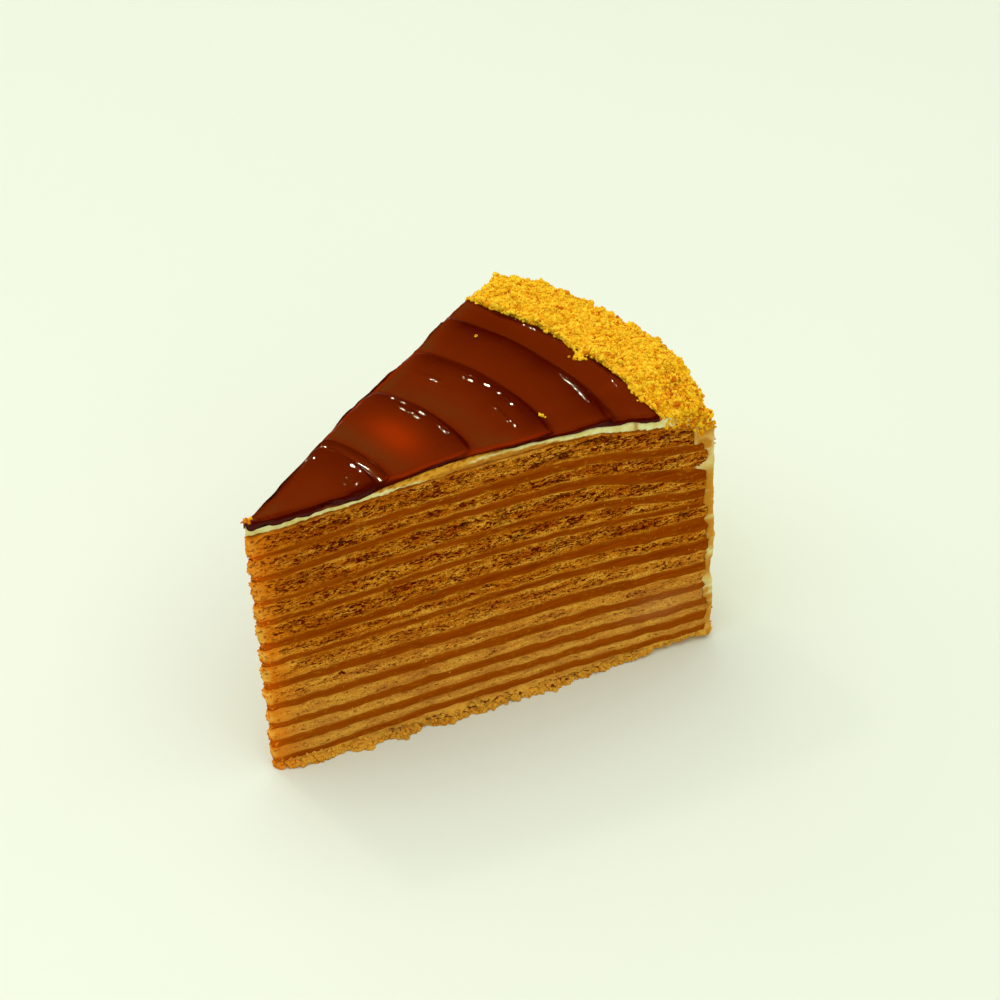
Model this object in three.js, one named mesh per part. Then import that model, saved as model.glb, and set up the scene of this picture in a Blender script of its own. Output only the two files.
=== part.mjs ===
// One cut slice of a honey layer cake, in millimetres, +Z up.
// Twelve thin biscuits with caramel cream between them stand on the bottom biscuit. White cream coats the
// top and the outside wall, poured caramel covers the coat from the point to the crumb band, and biscuit
// crumbs cover the rim. The slice is laid out in polar form about the centre of the whole cake: a radius r,
// and a share s of the half angle, from -1 at one cut side to 1 at the other. The point looks along -X.
import * as THREE from "three";
import { mergeVertices } from "three/addons/utils/BufferGeometryUtils.js";

const DEGREE = Math.PI / 180;

// ---- The slice in plan ----
const SLICE_ANGLE = 36.4 * DEGREE; // a cake cut in ten
const CAKE_RADIUS = 121.6; // centre of the cake to the outside of the cream
const TIP_ROUNDING = 1.3; // the knife leaves the point blunt
const TIP_LEAN = 1.7; // how far the top of the point stands out past its foot
const LEAN_REACH = 22; // the lean dies out over this distance from the point

// ---- The stack, from the bottom up: thickness at the point, halfway along the slice, and at the rim ----
const STACK = [
  { biscuit: [1.8, 3.5, 3.1], caramel: [1.5, 1.8, 1.5] },
  { biscuit: [3.5, 2.6, 2.1], caramel: [2.1, 2.0, 2.4] },
  { biscuit: [3.5, 2.6, 2.0], caramel: [1.8, 2.2, 2.0] },
  { biscuit: [4.4, 3.5, 3.3], caramel: [1.8, 2.4, 1.8] },
  { biscuit: [4.8, 3.6, 4.1], caramel: [1.9, 2.9, 2.5] },
  { biscuit: [5.3, 5.7, 3.7], caramel: [1.2, 1.5, 3.5] },
  { biscuit: [3.6, 3.6, 3.0], caramel: [2.0, 2.3, 3.9] },
  { biscuit: [5.5, 5.8, 3.1], caramel: [1.6, 1.5, 1.5] },
  { biscuit: [5.0, 5.1, 1.6], caramel: [1.0, 1.4, 2.5] },
  { biscuit: [6.1, 5.8, 2.7], caramel: [1.3, 1.8, 3.9] },
  { biscuit: [5.1, 3.7, 5.2], caramel: [1.0, 2.3, 2.2] },
  { biscuit: [5.7, 6.2, 6.0] },
];
const PLACES = [8, 53, 116]; // the radii where those three thicknesses are measured
const DROOP_POWER = 2.4; // how late the stack starts to sink towards the rim
const FAR_DROOP = 0.3; // away from the first cut it sinks only this much of it
const DROOP_REACH = 0.35; // share of the slice over which the sinking fades
const LAYER_REACH = 119; // how far out the layers end, on average
const REACH_SPREAD = 1.1; // and how much one ends short of or past its neighbour
const TOP_REACH = 115.6; // the top biscuit stops short, where the coat turns over the shoulder
const RIPPLE = { height: 0.45, along: 10.5, across: 7, slant: 21, shift: 0.55 }; // slow waves in the layers
const GAP = 0.12; // clearance between neighbouring layers

// ---- White cream over the stack ----
const COAT_TOP = 2.6;
const SWELL = { height: 0.8, length: 55, crest: 49, slant: 1.5 }; // the coat is thicker and thinner in rings
const SHOULDER = { out: 9, down: 7 }; // the coat's rounded corner, as a quarter ellipse
const COAT_FOOT = 0.7; // the cream on the wall ends this far up
const WAIST = { height: 24.5, depth: 1.3, reach: 4.5, slant: 2 }; // a groove round the wall
const WALL_WAVE = { depth: 0.3, height: 6.5, around: 2.1, ripples: 7, slant: 15 }; // it was spread by hand

// ---- Poured caramel ----
const GLAZE_END = 102.2;
const GLAZE_RUN = { first: 4.4, second: 1.5, reach: 0.14, power: 6 }; // it runs further out at the two cuts
const GLAZE_WANDER = { size: 0.5, waves: 7, shift: 0.8, slant: 0.6 }; // its end isn't a true circle
const RIDGES = [33.4, 36.3, 57.2, 77.5, 92.3]; // where one sweep of the palette knife ends on the next
const RIDGE_TURN = 1.1; // a ridge is this much further out at the first cut than at the second
const GLAZE_LOW = 1.0; // thickness just outside a ridge
const GLAZE_CREST = 2.3; // thickness on a ridge
const GLAZE_EDGE = { first: 0.6, second: 0.25 }; // share of the thickness left where it rounds over the cuts
const RIDGE_RISE = 2.4; // how late in a sweep the glaze climbs to the ridge
const RIDGE_FALL = 1.1; // width of the steep side of a ridge
const GLAZE_DRAPE = { first: 0.5, second: 0.2, least: 0.35 }; // how far it hangs over the two cuts

// ---- Crumb band ----
const CRUMB_DEPTH = 3.7;
const CRUMB_THINNING = { share: 0.25, reach: 0.16 }; // the crumbs have fallen off next to the cuts
const CRUMB_BUMP = { up: 0.75, out: 0.45 }; // crags left by clumped crumbs
const CRUMB_CLEARANCE = 0.3;
const CRUMB_COLUMNS = 36;
const BAND_END = 62 * DEGREE; // how far down the shoulder the crumbs reach

// ---- Bottom biscuit ----
const FOOT_FLARE = { width: 2.4, end: 94 }; // it spreads along its lower edge, up to this radius
const FOOT_LIFT = { height: 1.5, start: 88 }; // and its edge is broken off from here to the rim
const FOOT_SHARES = [-1, -0.88, -0.5, 0, 0.5, 0.88, 1]; // columns of its underside, closer to the cuts

// ---- Fineness ----
const TIP_STEPS = 3;
const LAYER_STEPS = 9;
const LAYER_COLUMNS = 6;
const COAT_COLUMNS = 12;
const WALL_STEPS = 12;
const SHOULDER_STEPS = 5;

const HALF = SLICE_ANGLE / 2;
const TIP_CENTRE = TIP_ROUNDING / Math.sin(HALF); // where the blunt point's circle lies on the centre line
const BLUNT_RADIUS = TIP_CENTRE - TIP_ROUNDING;
const TANGENT_RADIUS = TIP_ROUNDING / Math.tan(HALF);

/** A repeatable random number from 0 to 1 for each call. */
function randomSource(seed) {
  let state = seed;
  return () => {
    state = (state + 0x6d2b79f5) | 0;
    let t = Math.imul(state ^ (state >>> 15), 1 | state);
    t = (t + Math.imul(t ^ (t >>> 7), 61 | t)) ^ t;
    return ((t ^ (t >>> 14)) >>> 0) / 4294967296;
  };
}

const smooth = (f) => THREE.MathUtils.smoothstep(f, 0, 1);
const lerp = THREE.MathUtils.lerp;

/** The half angle of the slice at a radius: it closes to nothing round the blunt point. */
function halfAngleAt(r) {
  if (r >= TANGENT_RADIUS) return HALF;
  const cosine = (r * r + TIP_CENTRE ** 2 - TIP_ROUNDING ** 2) / (2 * r * TIP_CENTRE);
  return Math.acos(Math.min(1, cosine));
}

/** The point at a radius, a share and a height, with the slice's lean, moved sideways off the cut. */
function place(r, s, z, sideways = 0) {
  const angle = s * halfAngleAt(r);
  const lean = TIP_LEAN * (0.5 - z / stackHeight) * Math.exp((BLUNT_RADIUS - r) / LEAN_REACH);
  const out = Math.sign(s) * sideways;
  return new THREE.Vector3(
    r * Math.cos(angle) + lean - Math.abs(out) * Math.sin(HALF),
    r * Math.sin(angle) + out * Math.cos(HALF),
    z,
  );
}

/**
 * Radii from the blunt point to an end: round the point by equal turns, then by equal steps. All layers
 * share the steps up to the end of the shortest one.
 */
function stations(end, steps) {
  const radii = [];
  for (let i = 0; i <= TIP_STEPS; i++) {
    const turn = (i / TIP_STEPS) * (Math.PI / 2 - HALF);
    radii.push(Math.hypot(TIP_CENTRE - TIP_ROUNDING * Math.cos(turn), TIP_ROUNDING * Math.sin(turn)));
  }
  for (let i = 1; i <= steps; i++) radii.push(lerp(TANGENT_RADIUS, Math.min(end, TOP_REACH), i / steps));
  if (end > TOP_REACH) radii.push(end);
  return radii;
}

/** Shares of the half angle, evenly spread. */
const shares = (columns) => Array.from({ length: columns + 1 }, (_, j) => (2 * j) / columns - 1);

// ---- Levels in the stack ----

/** One thickness of the stack at a radius and share, from its values at the three places. */
function thicknessAt([tip, middle, rim], r, s) {
  if (r < PLACES[1]) return lerp(middle, tip, smooth((PLACES[1] - r) / (PLACES[1] - PLACES[0])));
  const f = Math.min(1, (r - PLACES[1]) / (PLACES[2] - PLACES[1]));
  const droop = lerp(1, FAR_DROOP, smooth((s + 1) / DROOP_REACH));
  return lerp(middle, rim, smooth(f ** DROOP_POWER) * droop);
}

const THICKNESSES = STACK.flatMap(({ biscuit, caramel }) => (caramel ? [biscuit, caramel] : [biscuit]));
const stackHeight = THICKNESSES.reduce((sum, t) => sum + t[1], 0);

/** Height of the top of the first n layers, with slow waves that grow with height. */
function level(n, r, s) {
  const height = THICKNESSES.slice(0, n).reduce((sum, t) => sum + thicknessAt(t, r, s), 0);
  const sideways = r * s * halfAngleAt(r);
  const along = Math.sin(r / RIPPLE.along + RIPPLE.shift * n);
  const across = Math.sin(sideways / RIPPLE.across + r / RIPPLE.slant + n);
  return height + (RIPPLE.height * lerp(along, across, 0.4) * height) / stackHeight;
}

const reachRandom = randomSource(11);
const REACHES = THICKNESSES.map(() => LAYER_REACH + (2 * reachRandom() - 1) * REACH_SPREAD);
REACHES[THICKNESSES.length - 1] = TOP_REACH;

// ---- Closed shells from patches that share their edges ----

class Shell {
  positions = [];

  triangle(a, b, c) {
    for (const p of [a, b, c]) this.positions.push(p.x, p.y, p.z);
  }

  /** A patch over rows of points. It faces along row x column direction, or the other way if flipped. */
  grid(rows, flipped = false) {
    for (let i = 0; i + 1 < rows.length; i++) this.strip(rows[i], rows[i + 1], flipped);
  }

  /** Triangles between two chains that may have different numbers of points. */
  strip(first, second, flipped = false) {
    let a = 0;
    let b = 0;
    while (a + 1 < first.length || b + 1 < second.length) {
      const behind = (a + 1) * (second.length - 1) <= (b + 1) * (first.length - 1);
      const onFirst = a + 1 < first.length && (behind || b + 1 >= second.length);
      const next = onFirst ? first[a + 1] : second[b + 1];
      if (flipped) this.triangle(first[a], next, second[b]);
      else this.triangle(first[a], second[b], next);
      if (onFirst) a++;
      else b++;
    }
  }

  /** A face over a closed ring, triangulated by its outline, that looks along -Y, or +Y if flipped. */
  cap(ring, outline, flipped = false) {
    for (const [a, b, c] of THREE.ShapeUtils.triangulateShape(outline, [])) {
      if (flipped) this.triangle(ring[a], ring[c], ring[b]);
      else this.triangle(ring[a], ring[b], ring[c]);
    }
  }

  geometry() {
    const loose = new THREE.BufferGeometry();
    loose.setAttribute("position", new THREE.Float32BufferAttribute(this.positions, 3));
    const merged = mergeVertices(loose, 1e-4);
    const index = Array.from(merged.index.array);
    const kept = [];
    for (let i = 0; i < index.length; i += 3) {
      const [a, b, c] = index.slice(i, i + 3);
      if (a !== b && b !== c && c !== a) kept.push(a, b, c);
    }
    merged.setIndex(kept);
    return merged;
  }
}

/** A closed slab between two grids of points: rows run outwards, columns from one cut to the other. */
function slab(lower, upper) {
  const shell = new Shell();
  const edge = (rows, column) => rows.map((row) => row.at(column));
  shell.grid(upper);
  shell.grid(lower, true);
  shell.strip(edge(upper, 0), edge(lower, 0));
  shell.strip(edge(upper, -1), edge(lower, -1), true);
  shell.strip(upper.at(-1), lower.at(-1));
  return shell.geometry();
}

// ---- The layers ----

/** Layer n of the stack, counted from 0 at the bottom. */
function layer(n) {
  const radii = stations(REACHES[n], LAYER_STEPS);
  const sheet = (heightOf) => radii.map((r) => shares(LAYER_COLUMNS).map((s) => place(r, s, heightOf(r, s))));
  const upper = sheet((r, s) => level(n + 1, r, s) - GAP / 2);
  if (n > 0) return slab(sheet((r, s) => level(n, r, s) + GAP / 2), upper);
  const random = randomSource(5);
  const lower = stations(REACHES[0], 3 * LAYER_STEPS).map((r) => {
    const lift = FOOT_LIFT.height * smooth((r - FOOT_LIFT.start) / (REACHES[0] - FOOT_LIFT.start));
    const along = THREE.MathUtils.clamp((r - TANGENT_RADIUS) / (FOOT_FLARE.end - TANGENT_RADIUS), 0, 1);
    const flare = () => FOOT_FLARE.width * Math.sin(Math.PI * along) ** 0.6 * lerp(0.6, 1, random());
    return FOOT_SHARES.map((s) => (Math.abs(s) === 1 ? place(r, s, lift, flare()) : place(r, s, 0)));
  });
  return slab(lower, upper);
}

// ---- The cream coat ----

/** Height of the top of the coat, before the shoulder. */
function coatTop(r, s) {
  const turn = (2 * Math.PI * (r - SWELL.crest)) / SWELL.length + SWELL.slant * s * halfAngleAt(r);
  return level(THICKNESSES.length, r, s) + COAT_TOP + SWELL.height * Math.cos(turn);
}

/** Radius of the outside wall at a height. */
function wallRadius(z, s) {
  const waist = WAIST.depth * Math.exp(-(((z - WAIST.height - WAIST.slant * s) / WAIST.reach) ** 2));
  const upright = Math.sin(z / WALL_WAVE.height + WALL_WAVE.around * s);
  const around = Math.sin(WALL_WAVE.ripples * s + z / WALL_WAVE.slant);
  return CAKE_RADIUS - waist - WALL_WAVE.depth * (2 - upright - around);
}

const SHOULDER_START = CAKE_RADIUS - SHOULDER.out;
const coatRadii = stations(SHOULDER_START, LAYER_STEPS);

/** A point on the rounded shoulder: turn is 0 at the top of the coat and a right angle on the wall. */
function shoulderPoint(turn, s) {
  const top = coatTop(SHOULDER_START, s);
  const wall = wallRadius(top - SHOULDER.down, s);
  const r = lerp(SHOULDER_START, wall, Math.sin(turn));
  return [r, top - SHOULDER.down * (1 - Math.cos(turn))];
}

/** The coat's section at a share: [radius, height] pairs from the point over the top and down the wall. */
function coatSection(s) {
  const ring = coatRadii.map((r) => [r, coatTop(r, s)]);
  for (let i = 1; i <= SHOULDER_STEPS; i++) ring.push(shoulderPoint((i / SHOULDER_STEPS) * (Math.PI / 2), s));
  const wallTop = ring.at(-1)[1];
  for (let i = 1; i <= WALL_STEPS; i++) {
    const z = lerp(wallTop, COAT_FOOT, i / WALL_STEPS);
    ring.push([wallRadius(z, s), z]);
  }
  ring.push([REACHES[0] + GAP, COAT_FOOT]);
  for (let n = 1; n < THICKNESSES.length; n++) {
    const step = Math.sign(REACHES[n] - REACHES[n - 1]);
    for (const reach of [REACHES[n - 1], REACHES[n]]) {
      ring.push([reach + GAP, level(n, reach, s) - (step * GAP) / 2]);
    }
  }
  ring.push([TOP_REACH + GAP, level(THICKNESSES.length, TOP_REACH, s) + GAP / 2]);
  for (const r of stations(TOP_REACH, LAYER_STEPS).slice(0, -1).reverse()) {
    ring.push([r, level(THICKNESSES.length, r, s) + GAP / 2]);
  }
  return ring;
}

/** The coat's inside lies on the layers' flat facets, so between their columns it is a straight line. */
function coatRing(column) {
  const s = shares(COAT_COLUMNS)[column];
  const own = coatSection(s);
  const outside = coatRadii.length + SHOULDER_STEPS + WALL_STEPS;
  const ring = own.map(([r, z]) => place(r, s, z));
  if (column % 2 === 0) return ring;
  const step = 2 / COAT_COLUMNS;
  const [before, after] = [s - step, s + step].map((t) => coatSection(t).map(([r, z]) => place(r, t, z)));
  return ring.map((p, i) => (i < outside ? p : before[i].clone().lerp(after[i], 0.5)));
}

/** A closed sweep of rings from one cut to the other, capped on both. */
function sweep(rings, firstOutline, lastOutline) {
  const shell = new Shell();
  const flat = (outline) => outline.map(([r, z]) => new THREE.Vector2(r, z));
  const closed = rings.map((ring) => [...ring, ring[0]]);
  shell.grid(closed, true);
  shell.cap(rings[0], flat(firstOutline));
  shell.cap(rings.at(-1), flat(lastOutline), true);
  return shell.geometry();
}

function creamCoat() {
  const rings = shares(COAT_COLUMNS).map((_, column) => coatRing(column));
  return sweep(rings, coatSection(-1), coatSection(1));
}

// ---- The poured caramel ----

/** Radius of the glaze's outer end at a share. */
function glazeEnd(s) {
  const first = GLAZE_RUN.first * Math.exp(-(1 + s) / GLAZE_RUN.reach);
  const second = GLAZE_RUN.second * Math.exp(-(1 - s) / GLAZE_RUN.reach);
  const wander = GLAZE_WANDER.size * Math.sin(GLAZE_WANDER.waves * s - GLAZE_WANDER.shift);
  return GLAZE_END + first + second + wander - GLAZE_WANDER.slant * s;
}

/** Radii of the glaze's top surface: a few across each sweep of the knife, closer towards its ridge. */
function glazeRadii() {
  const across = [0.2, 0.45, 0.68, 0.85, 0.95, 1];
  const radii = stations(TANGENT_RADIUS + 1, 1);
  let start = radii.at(-1);
  for (const ridge of [...RIDGES, GLAZE_END]) {
    for (const f of across) radii.push(lerp(start, ridge, f));
    start = ridge + RIDGE_FALL;
    if (ridge !== GLAZE_END) radii.push(start);
  }
  return radii;
}

/** Thickness of the glaze at a radius: each sweep climbs to its ridge and drops steeply outside it. */
function glazeThickness(r) {
  let start = BLUNT_RADIUS;
  for (const ridge of RIDGES) {
    if (r <= ridge) return lerp(GLAZE_LOW, GLAZE_CREST, ((r - start) / (ridge - start)) ** RIDGE_RISE);
    if (r < ridge + RIDGE_FALL) return lerp(GLAZE_CREST, GLAZE_LOW, (r - ridge) / RIDGE_FALL);
    start = ridge + RIDGE_FALL;
  }
  return lerp(GLAZE_LOW, 1.1 * GLAZE_LOW, (r - start) / (GLAZE_END - start));
}

/** A point just above the coat's facets. */
function onCoat(r, s) {
  const next = Math.max(1, coatRadii.findIndex((station) => station >= r));
  const [before, after] = [coatRadii[next - 1], coatRadii[next]];
  const [from, to] = [before, after].map((station) => place(station, s, coatTop(station, s) + 2 * GAP));
  return from.lerp(to, (r - before) / (after - before));
}

/** How far the glaze hangs over the cuts: it swells halfway across each sweep of the knife. */
function drape(r, s) {
  if (Math.abs(s) < 1 || r <= TANGENT_RADIUS) return 0;
  const most = s < 0 ? GLAZE_DRAPE.first : GLAZE_DRAPE.second;
  let start = BLUNT_RADIUS;
  for (const ridge of [...RIDGES, GLAZE_END]) {
    const swell = Math.sin((Math.PI * (r - start)) / (ridge - start));
    if (r <= ridge) return most * lerp(GLAZE_DRAPE.least, 1, swell);
    start = ridge;
  }
  return most * GLAZE_DRAPE.least;
}

/** Share of the glaze's thickness that is left where its top rounds over an edge. */
function rounding(r, s) {
  if (s === -1 || r === BLUNT_RADIUS) return GLAZE_EDGE.first;
  return s === 1 ? GLAZE_EDGE.second : 1;
}

function caramelGlaze() {
  const columns = shares(COAT_COLUMNS);
  const past = (r, length) => smooth((r - TANGENT_RADIUS) / length);
  const turn = (nominal, s) => -RIDGE_TURN * s * past(nominal, RIDGES[0]);
  const run = (nominal, s) => glazeEnd(s) - GLAZE_END + RIDGE_TURN * s;
  const upper = glazeRadii().map((nominal) =>
    columns.map((s) => {
      const r = nominal + turn(nominal, s) + run(nominal, s) * past(nominal, GLAZE_END) ** GLAZE_RUN.power;
      const z = coatTop(r, s) + 2 * GAP + glazeThickness(nominal) * rounding(nominal, s);
      return place(r, s, z, drape(nominal, s));
    }),
  );
  const lower = coatRadii.filter((r) => r < GLAZE_END - 1).map((r) => columns.map((s) => onCoat(r, s)));
  lower.push(columns.map((s) => onCoat(glazeEnd(s), s)));
  return slab(lower, upper);
}

// ---- The crumb band ----

/** The coat's surface under the crumbs, as [radius, height], from the glaze's end over the shoulder. */
function bandLine(column) {
  const s = shares(COAT_COLUMNS)[column];
  const start = glazeEnd(s) + 0.4;
  const line = [0, 0.5, 1].map((f) => {
    const r = lerp(start, SHOULDER_START, f);
    return [r, coatTop(r, s)];
  });
  for (let i = 1; i <= SHOULDER_STEPS; i++) {
    const turn = (i / SHOULDER_STEPS) * (Math.PI / 2);
    if (turn <= BAND_END + 0.01) line.push(shoulderPoint(turn, s));
  }
  return line;
}

/** The direction out of the coat at each point of a line of [radius, height] pairs. */
function normals(line) {
  return line.map((_, i) => {
    const [r0, z0] = line[Math.max(0, i - 1)];
    const [r1, z1] = line[Math.min(line.length - 1, i + 1)];
    return new THREE.Vector2(z0 - z1, r1 - r0).normalize();
  });
}

/** Depth of crumbs at a fraction f of the way from the band's inner edge to its lower one, and at a share. */
function crumbDepth(f, s) {
  const nearCut = Math.exp(-(1 - Math.abs(s)) / CRUMB_THINNING.reach);
  const mound = Math.sqrt(Math.sin(Math.PI * lerp(0.1, 0.88, f)));
  return CRUMB_DEPTH * mound * lerp(1, CRUMB_THINNING.share, nearCut);
}

/** The band over one column of the coat: crumbs above, the coat's surface with a clearance below. */
function bandSection(column) {
  const s = shares(COAT_COLUMNS)[column];
  const line = bandLine(column);
  const out = normals(line);
  const at = ([r, z], normal, depth) => place(r + normal.x * depth, s, z + normal.y * depth);
  const lifted = (depth) => line.map((point, i) => at(point, out[i], depth(i)));
  return {
    below: lifted(() => CRUMB_CLEARANCE),
    above: lifted((i) => CRUMB_CLEARANCE + crumbDepth(i / (line.length - 1), s)),
  };
}

function crumbBand() {
  const random = randomSource(31);
  const bump = (size) => size * (2 * random() - 1);
  const blend = (first, second, t) => first.map((p, i) => p.clone().lerp(second[i], t));
  const halfway = (line, i) => (i + 1 < line.length ? [line[i].clone().lerp(line[i + 1], 0.5)] : []);
  const doubled = (line) => line.flatMap((p, i) => [p, ...halfway(line, i)]);
  const sections = shares(COAT_COLUMNS).map((_, column) => bandSection(column));
  const rings = [];
  for (let c = 0; c <= CRUMB_COLUMNS; c++) {
    const along = (c * COAT_COLUMNS) / CRUMB_COLUMNS;
    const column = Math.min(COAT_COLUMNS - 1, Math.floor(along));
    const [first, second] = [sections[column], sections[column + 1]];
    const above = doubled(blend(first.above, second.above, along - column));
    for (const p of above) {
      p.z += bump(CRUMB_BUMP.up);
      const outward = 1 + bump(CRUMB_BUMP.out) / Math.hypot(p.x, p.y);
      p.x *= outward;
      p.y *= outward;
    }
    rings.push([...above, ...blend(first.below, second.below, along - column).reverse()]);
  }
  const outline = (ring) => ring.map((p) => [Math.hypot(p.x, p.y), p.z]);
  return sweep(rings, outline(rings[0]), outline(rings.at(-1)));
}

// ---- Finishes ----

const finish = (color, roughness) => new THREE.MeshStandardMaterial({ color, roughness, metalness: 0 });
const BISCUIT = finish("#b5822c", 0.9);
const CARAMEL = finish("#8a4a0c", 0.55);
const CREAM = finish("#e6dfae", 0.6);
const GLAZE = finish("#6b2406", 0.15);
const CRUMBS = finish("#eeb02c", 0.95);

// ---- The slice ----

const slice = new THREE.Group();

function add(name, geometry, material) {
  const mesh = new THREE.Mesh(geometry, material);
  mesh.name = name;
  slice.add(mesh);
}

STACK.forEach(({ caramel }, i) => {
  const number = String(i + 1).padStart(2, "0");
  add(`biscuit_${number}`, layer(2 * i), BISCUIT);
  if (caramel) add(`caramel_cream_${number}`, layer(2 * i + 1), CARAMEL);
});
add("cream_coat", creamCoat(), CREAM);
add("caramel_glaze", caramelGlaze(), GLAZE);
add("crumb_band", crumbBand(), CRUMBS);

// The origin is under the middle of the slice, on the plane that it stands on.
const bounds = new THREE.Box3().setFromObject(slice);
const middle = bounds.getCenter(new THREE.Vector3());
slice.position.set(-middle.x, -middle.y, -bounds.min.z);

export default slice;
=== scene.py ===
"""Fine surface and finish of one slice of honey layer cake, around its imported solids.

A place in the slice is polar: a radius from the middle of the whole cake and a height above the surface that
it stands on, both in millimetres, and an angle from the slice's centre line in radians. Meshes are in metres.
"""

import itertools
import logging
import math
from collections.abc import Callable
from dataclasses import dataclass
from enum import Enum
from typing import Any

import bpy
import numpy as np
from mathutils import Matrix, Vector
from mathutils.bvhtree import BVHTree


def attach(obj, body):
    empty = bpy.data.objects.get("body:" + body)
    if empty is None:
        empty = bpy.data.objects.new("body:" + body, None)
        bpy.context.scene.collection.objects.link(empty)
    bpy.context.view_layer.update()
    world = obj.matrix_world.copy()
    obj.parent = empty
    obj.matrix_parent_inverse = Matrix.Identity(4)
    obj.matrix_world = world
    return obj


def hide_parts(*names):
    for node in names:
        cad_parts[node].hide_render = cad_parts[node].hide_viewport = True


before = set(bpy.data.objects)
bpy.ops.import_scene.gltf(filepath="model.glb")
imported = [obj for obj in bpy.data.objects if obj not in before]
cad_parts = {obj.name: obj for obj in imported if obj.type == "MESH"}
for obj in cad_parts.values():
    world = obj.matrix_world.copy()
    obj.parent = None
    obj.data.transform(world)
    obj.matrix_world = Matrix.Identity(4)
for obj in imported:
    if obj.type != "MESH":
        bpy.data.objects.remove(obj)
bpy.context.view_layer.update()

LOG = logging.getLogger("honey_layer_cake")
MM = 0.001
BODY = "root"
HALF_ANGLE = math.radians(18.2)
TIP_SETBACK = 1.98 * MM
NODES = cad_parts.values()
TIP_X = min(vertex.co.x for node in NODES for vertex in node.data.vertices)
CENTRE_X = TIP_X - TIP_SETBACK  # the middle of the whole cake lies a little beyond the point
BISCUITS = tuple(f"biscuit_{n:02d}" for n in range(1, 13))
CREAMS = tuple(f"caramel_cream_{n:02d}" for n in range(1, 12))
MERGE_DISTANCE = 1e-6
RIM_START = 117.0  # radius at which the outside wall begins
LEVEL = 0.78  # a face whose normal rises more than this belongs to a layer's top or bottom
DOWN = Vector((0.0, 0.0, -1.0))
RAY_LENGTH = 8 * MM

Marks = dict[str, np.ndarray]  # numbers for the skin's vertices, by the name that a material reads


class Slot(Enum):
    """Material slots."""

    BISCUIT = "biscuit"
    CARAMEL_CREAM = "caramel_cream"
    CREAM = "cream"
    GLAZE = "glaze"
    CRUMBS = "crumbs"


# ---- Numbers ----


def smooth_step(low: float, high: float, values: np.ndarray) -> np.ndarray:
    """Rises smoothly from 0 at low to 1 at high."""
    share = np.clip((values - low) / (high - low), 0.0, 1.0)
    return share * share * (3.0 - 2.0 * share)


def bell(values: np.ndarray, middle: float, width: float) -> np.ndarray:
    """A bump of height 1 at the middle, that has died out about two widths away."""
    return np.exp(-(((values - middle) / width) ** 2))


class Noise:
    """Smooth repeatable noise in space, from about -1 to 1, on a lattice with cells of size 1."""

    SIZE = 4096
    MIXERS = (73856093, 19349663, 83492791)

    def __init__(self, seed: int) -> None:
        """Draws the slopes at the lattice points.

        Args:
            seed: number that the slopes follow from.
        """
        slopes = np.random.default_rng(seed).normal(size=(self.SIZE, 3))
        self.slopes = slopes / np.linalg.norm(slopes, axis=1, keepdims=True)

    def __call__(self, points: np.ndarray, scale: float | tuple[float, float, float] = 1.0) -> np.ndarray:
        """The noise at points.

        Args:
            points: rows of x, y and z.
            scale: size of a lattice cell, or its size along each axis.

        Returns:
            One number for each point.
        """
        spots = points / np.asarray(scale, float)
        cells = np.floor(spots).astype(np.int64)
        inside = spots - cells
        ease = inside * inside * inside * (inside * (inside * 6.0 - 15.0) + 10.0)
        total = np.zeros(len(spots))
        for corner in itertools.product((0, 1), repeat=3):
            keys = (cells + corner) * self.MIXERS
            mixed = keys[:, 0] ^ keys[:, 1] ^ keys[:, 2]
            slopes = self.slopes[(mixed ^ (mixed >> 15)) % self.SIZE]
            rise = np.einsum("ij,ij->i", slopes, inside - corner)
            total += rise * np.prod(np.where(corner, ease, 1.0 - ease), axis=1)
        return total * 1.6

    def fractal(
        self, points: np.ndarray, scale: float | tuple[float, float, float], octaves: int
    ) -> np.ndarray:
        """Noise with finer and fainter noise on it.

        Args:
            points: rows of x, y and z.
            scale: size of the coarsest cells.
            octaves: how many sizes are added up, each half the one before.

        Returns:
            One number for each point.
        """
        sizes = (np.asarray(scale, float) / 2**n for n in range(octaves))
        return sum(self(points + 17.3 * n, size) / 1.8**n for n, size in enumerate(sizes))


@dataclass(frozen=True)
class Places:
    """Places in the slice, in polar form."""

    radius: np.ndarray
    angle: np.ndarray
    height: np.ndarray

    @classmethod
    def of(cls, points: np.ndarray) -> "Places":
        """Polar form of points given in metres, as rows of x, y and z."""
        x, y, z = (points - (CENTRE_X, 0.0, 0.0)).T / MM
        return cls(np.hypot(x, y), np.arctan2(y, x), z)

    def across(self) -> np.ndarray:
        """Angle from the first cut, in degrees."""
        return np.degrees(self.angle + HALF_ANGLE)

    def from_cut(self) -> np.ndarray:
        """Distance inwards from the nearer cut side, in millimetres."""
        return self.radius * np.sin(np.clip(HALF_ANGLE - np.abs(self.angle), 0.0, None))


def outwards_of(places: Places, normals: np.ndarray) -> np.ndarray:
    """How far each normal looks away from the middle of the cake, from -1 to 1."""
    return normals[:, 0] * np.cos(places.angle) + normals[:, 1] * np.sin(places.angle)


def outward_of_cut(places: Places) -> np.ndarray:
    """The level direction in which the nearer cut side looks, for each place."""
    cut = np.where(places.angle < 0, -1.0, 1.0)
    away = (np.full(len(cut), -math.sin(HALF_ANGLE)), cut * math.cos(HALF_ANGLE), np.zeros(len(cut)))
    return np.column_stack(away)


def point_at(radius: float, angle: float, height: float) -> Vector:
    """The point in metres at a radius and height in millimetres and an angle in radians."""
    return Vector((CENTRE_X + radius * MM * math.cos(angle), radius * MM * math.sin(angle), height * MM))


# ---- Meshes ----


def activate(obj: bpy.types.Object) -> None:
    """Makes an object the only selected one, and the active one."""
    bpy.ops.object.select_all(action="DESELECT")
    obj.select_set(True)
    bpy.context.view_layer.objects.active = obj


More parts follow.
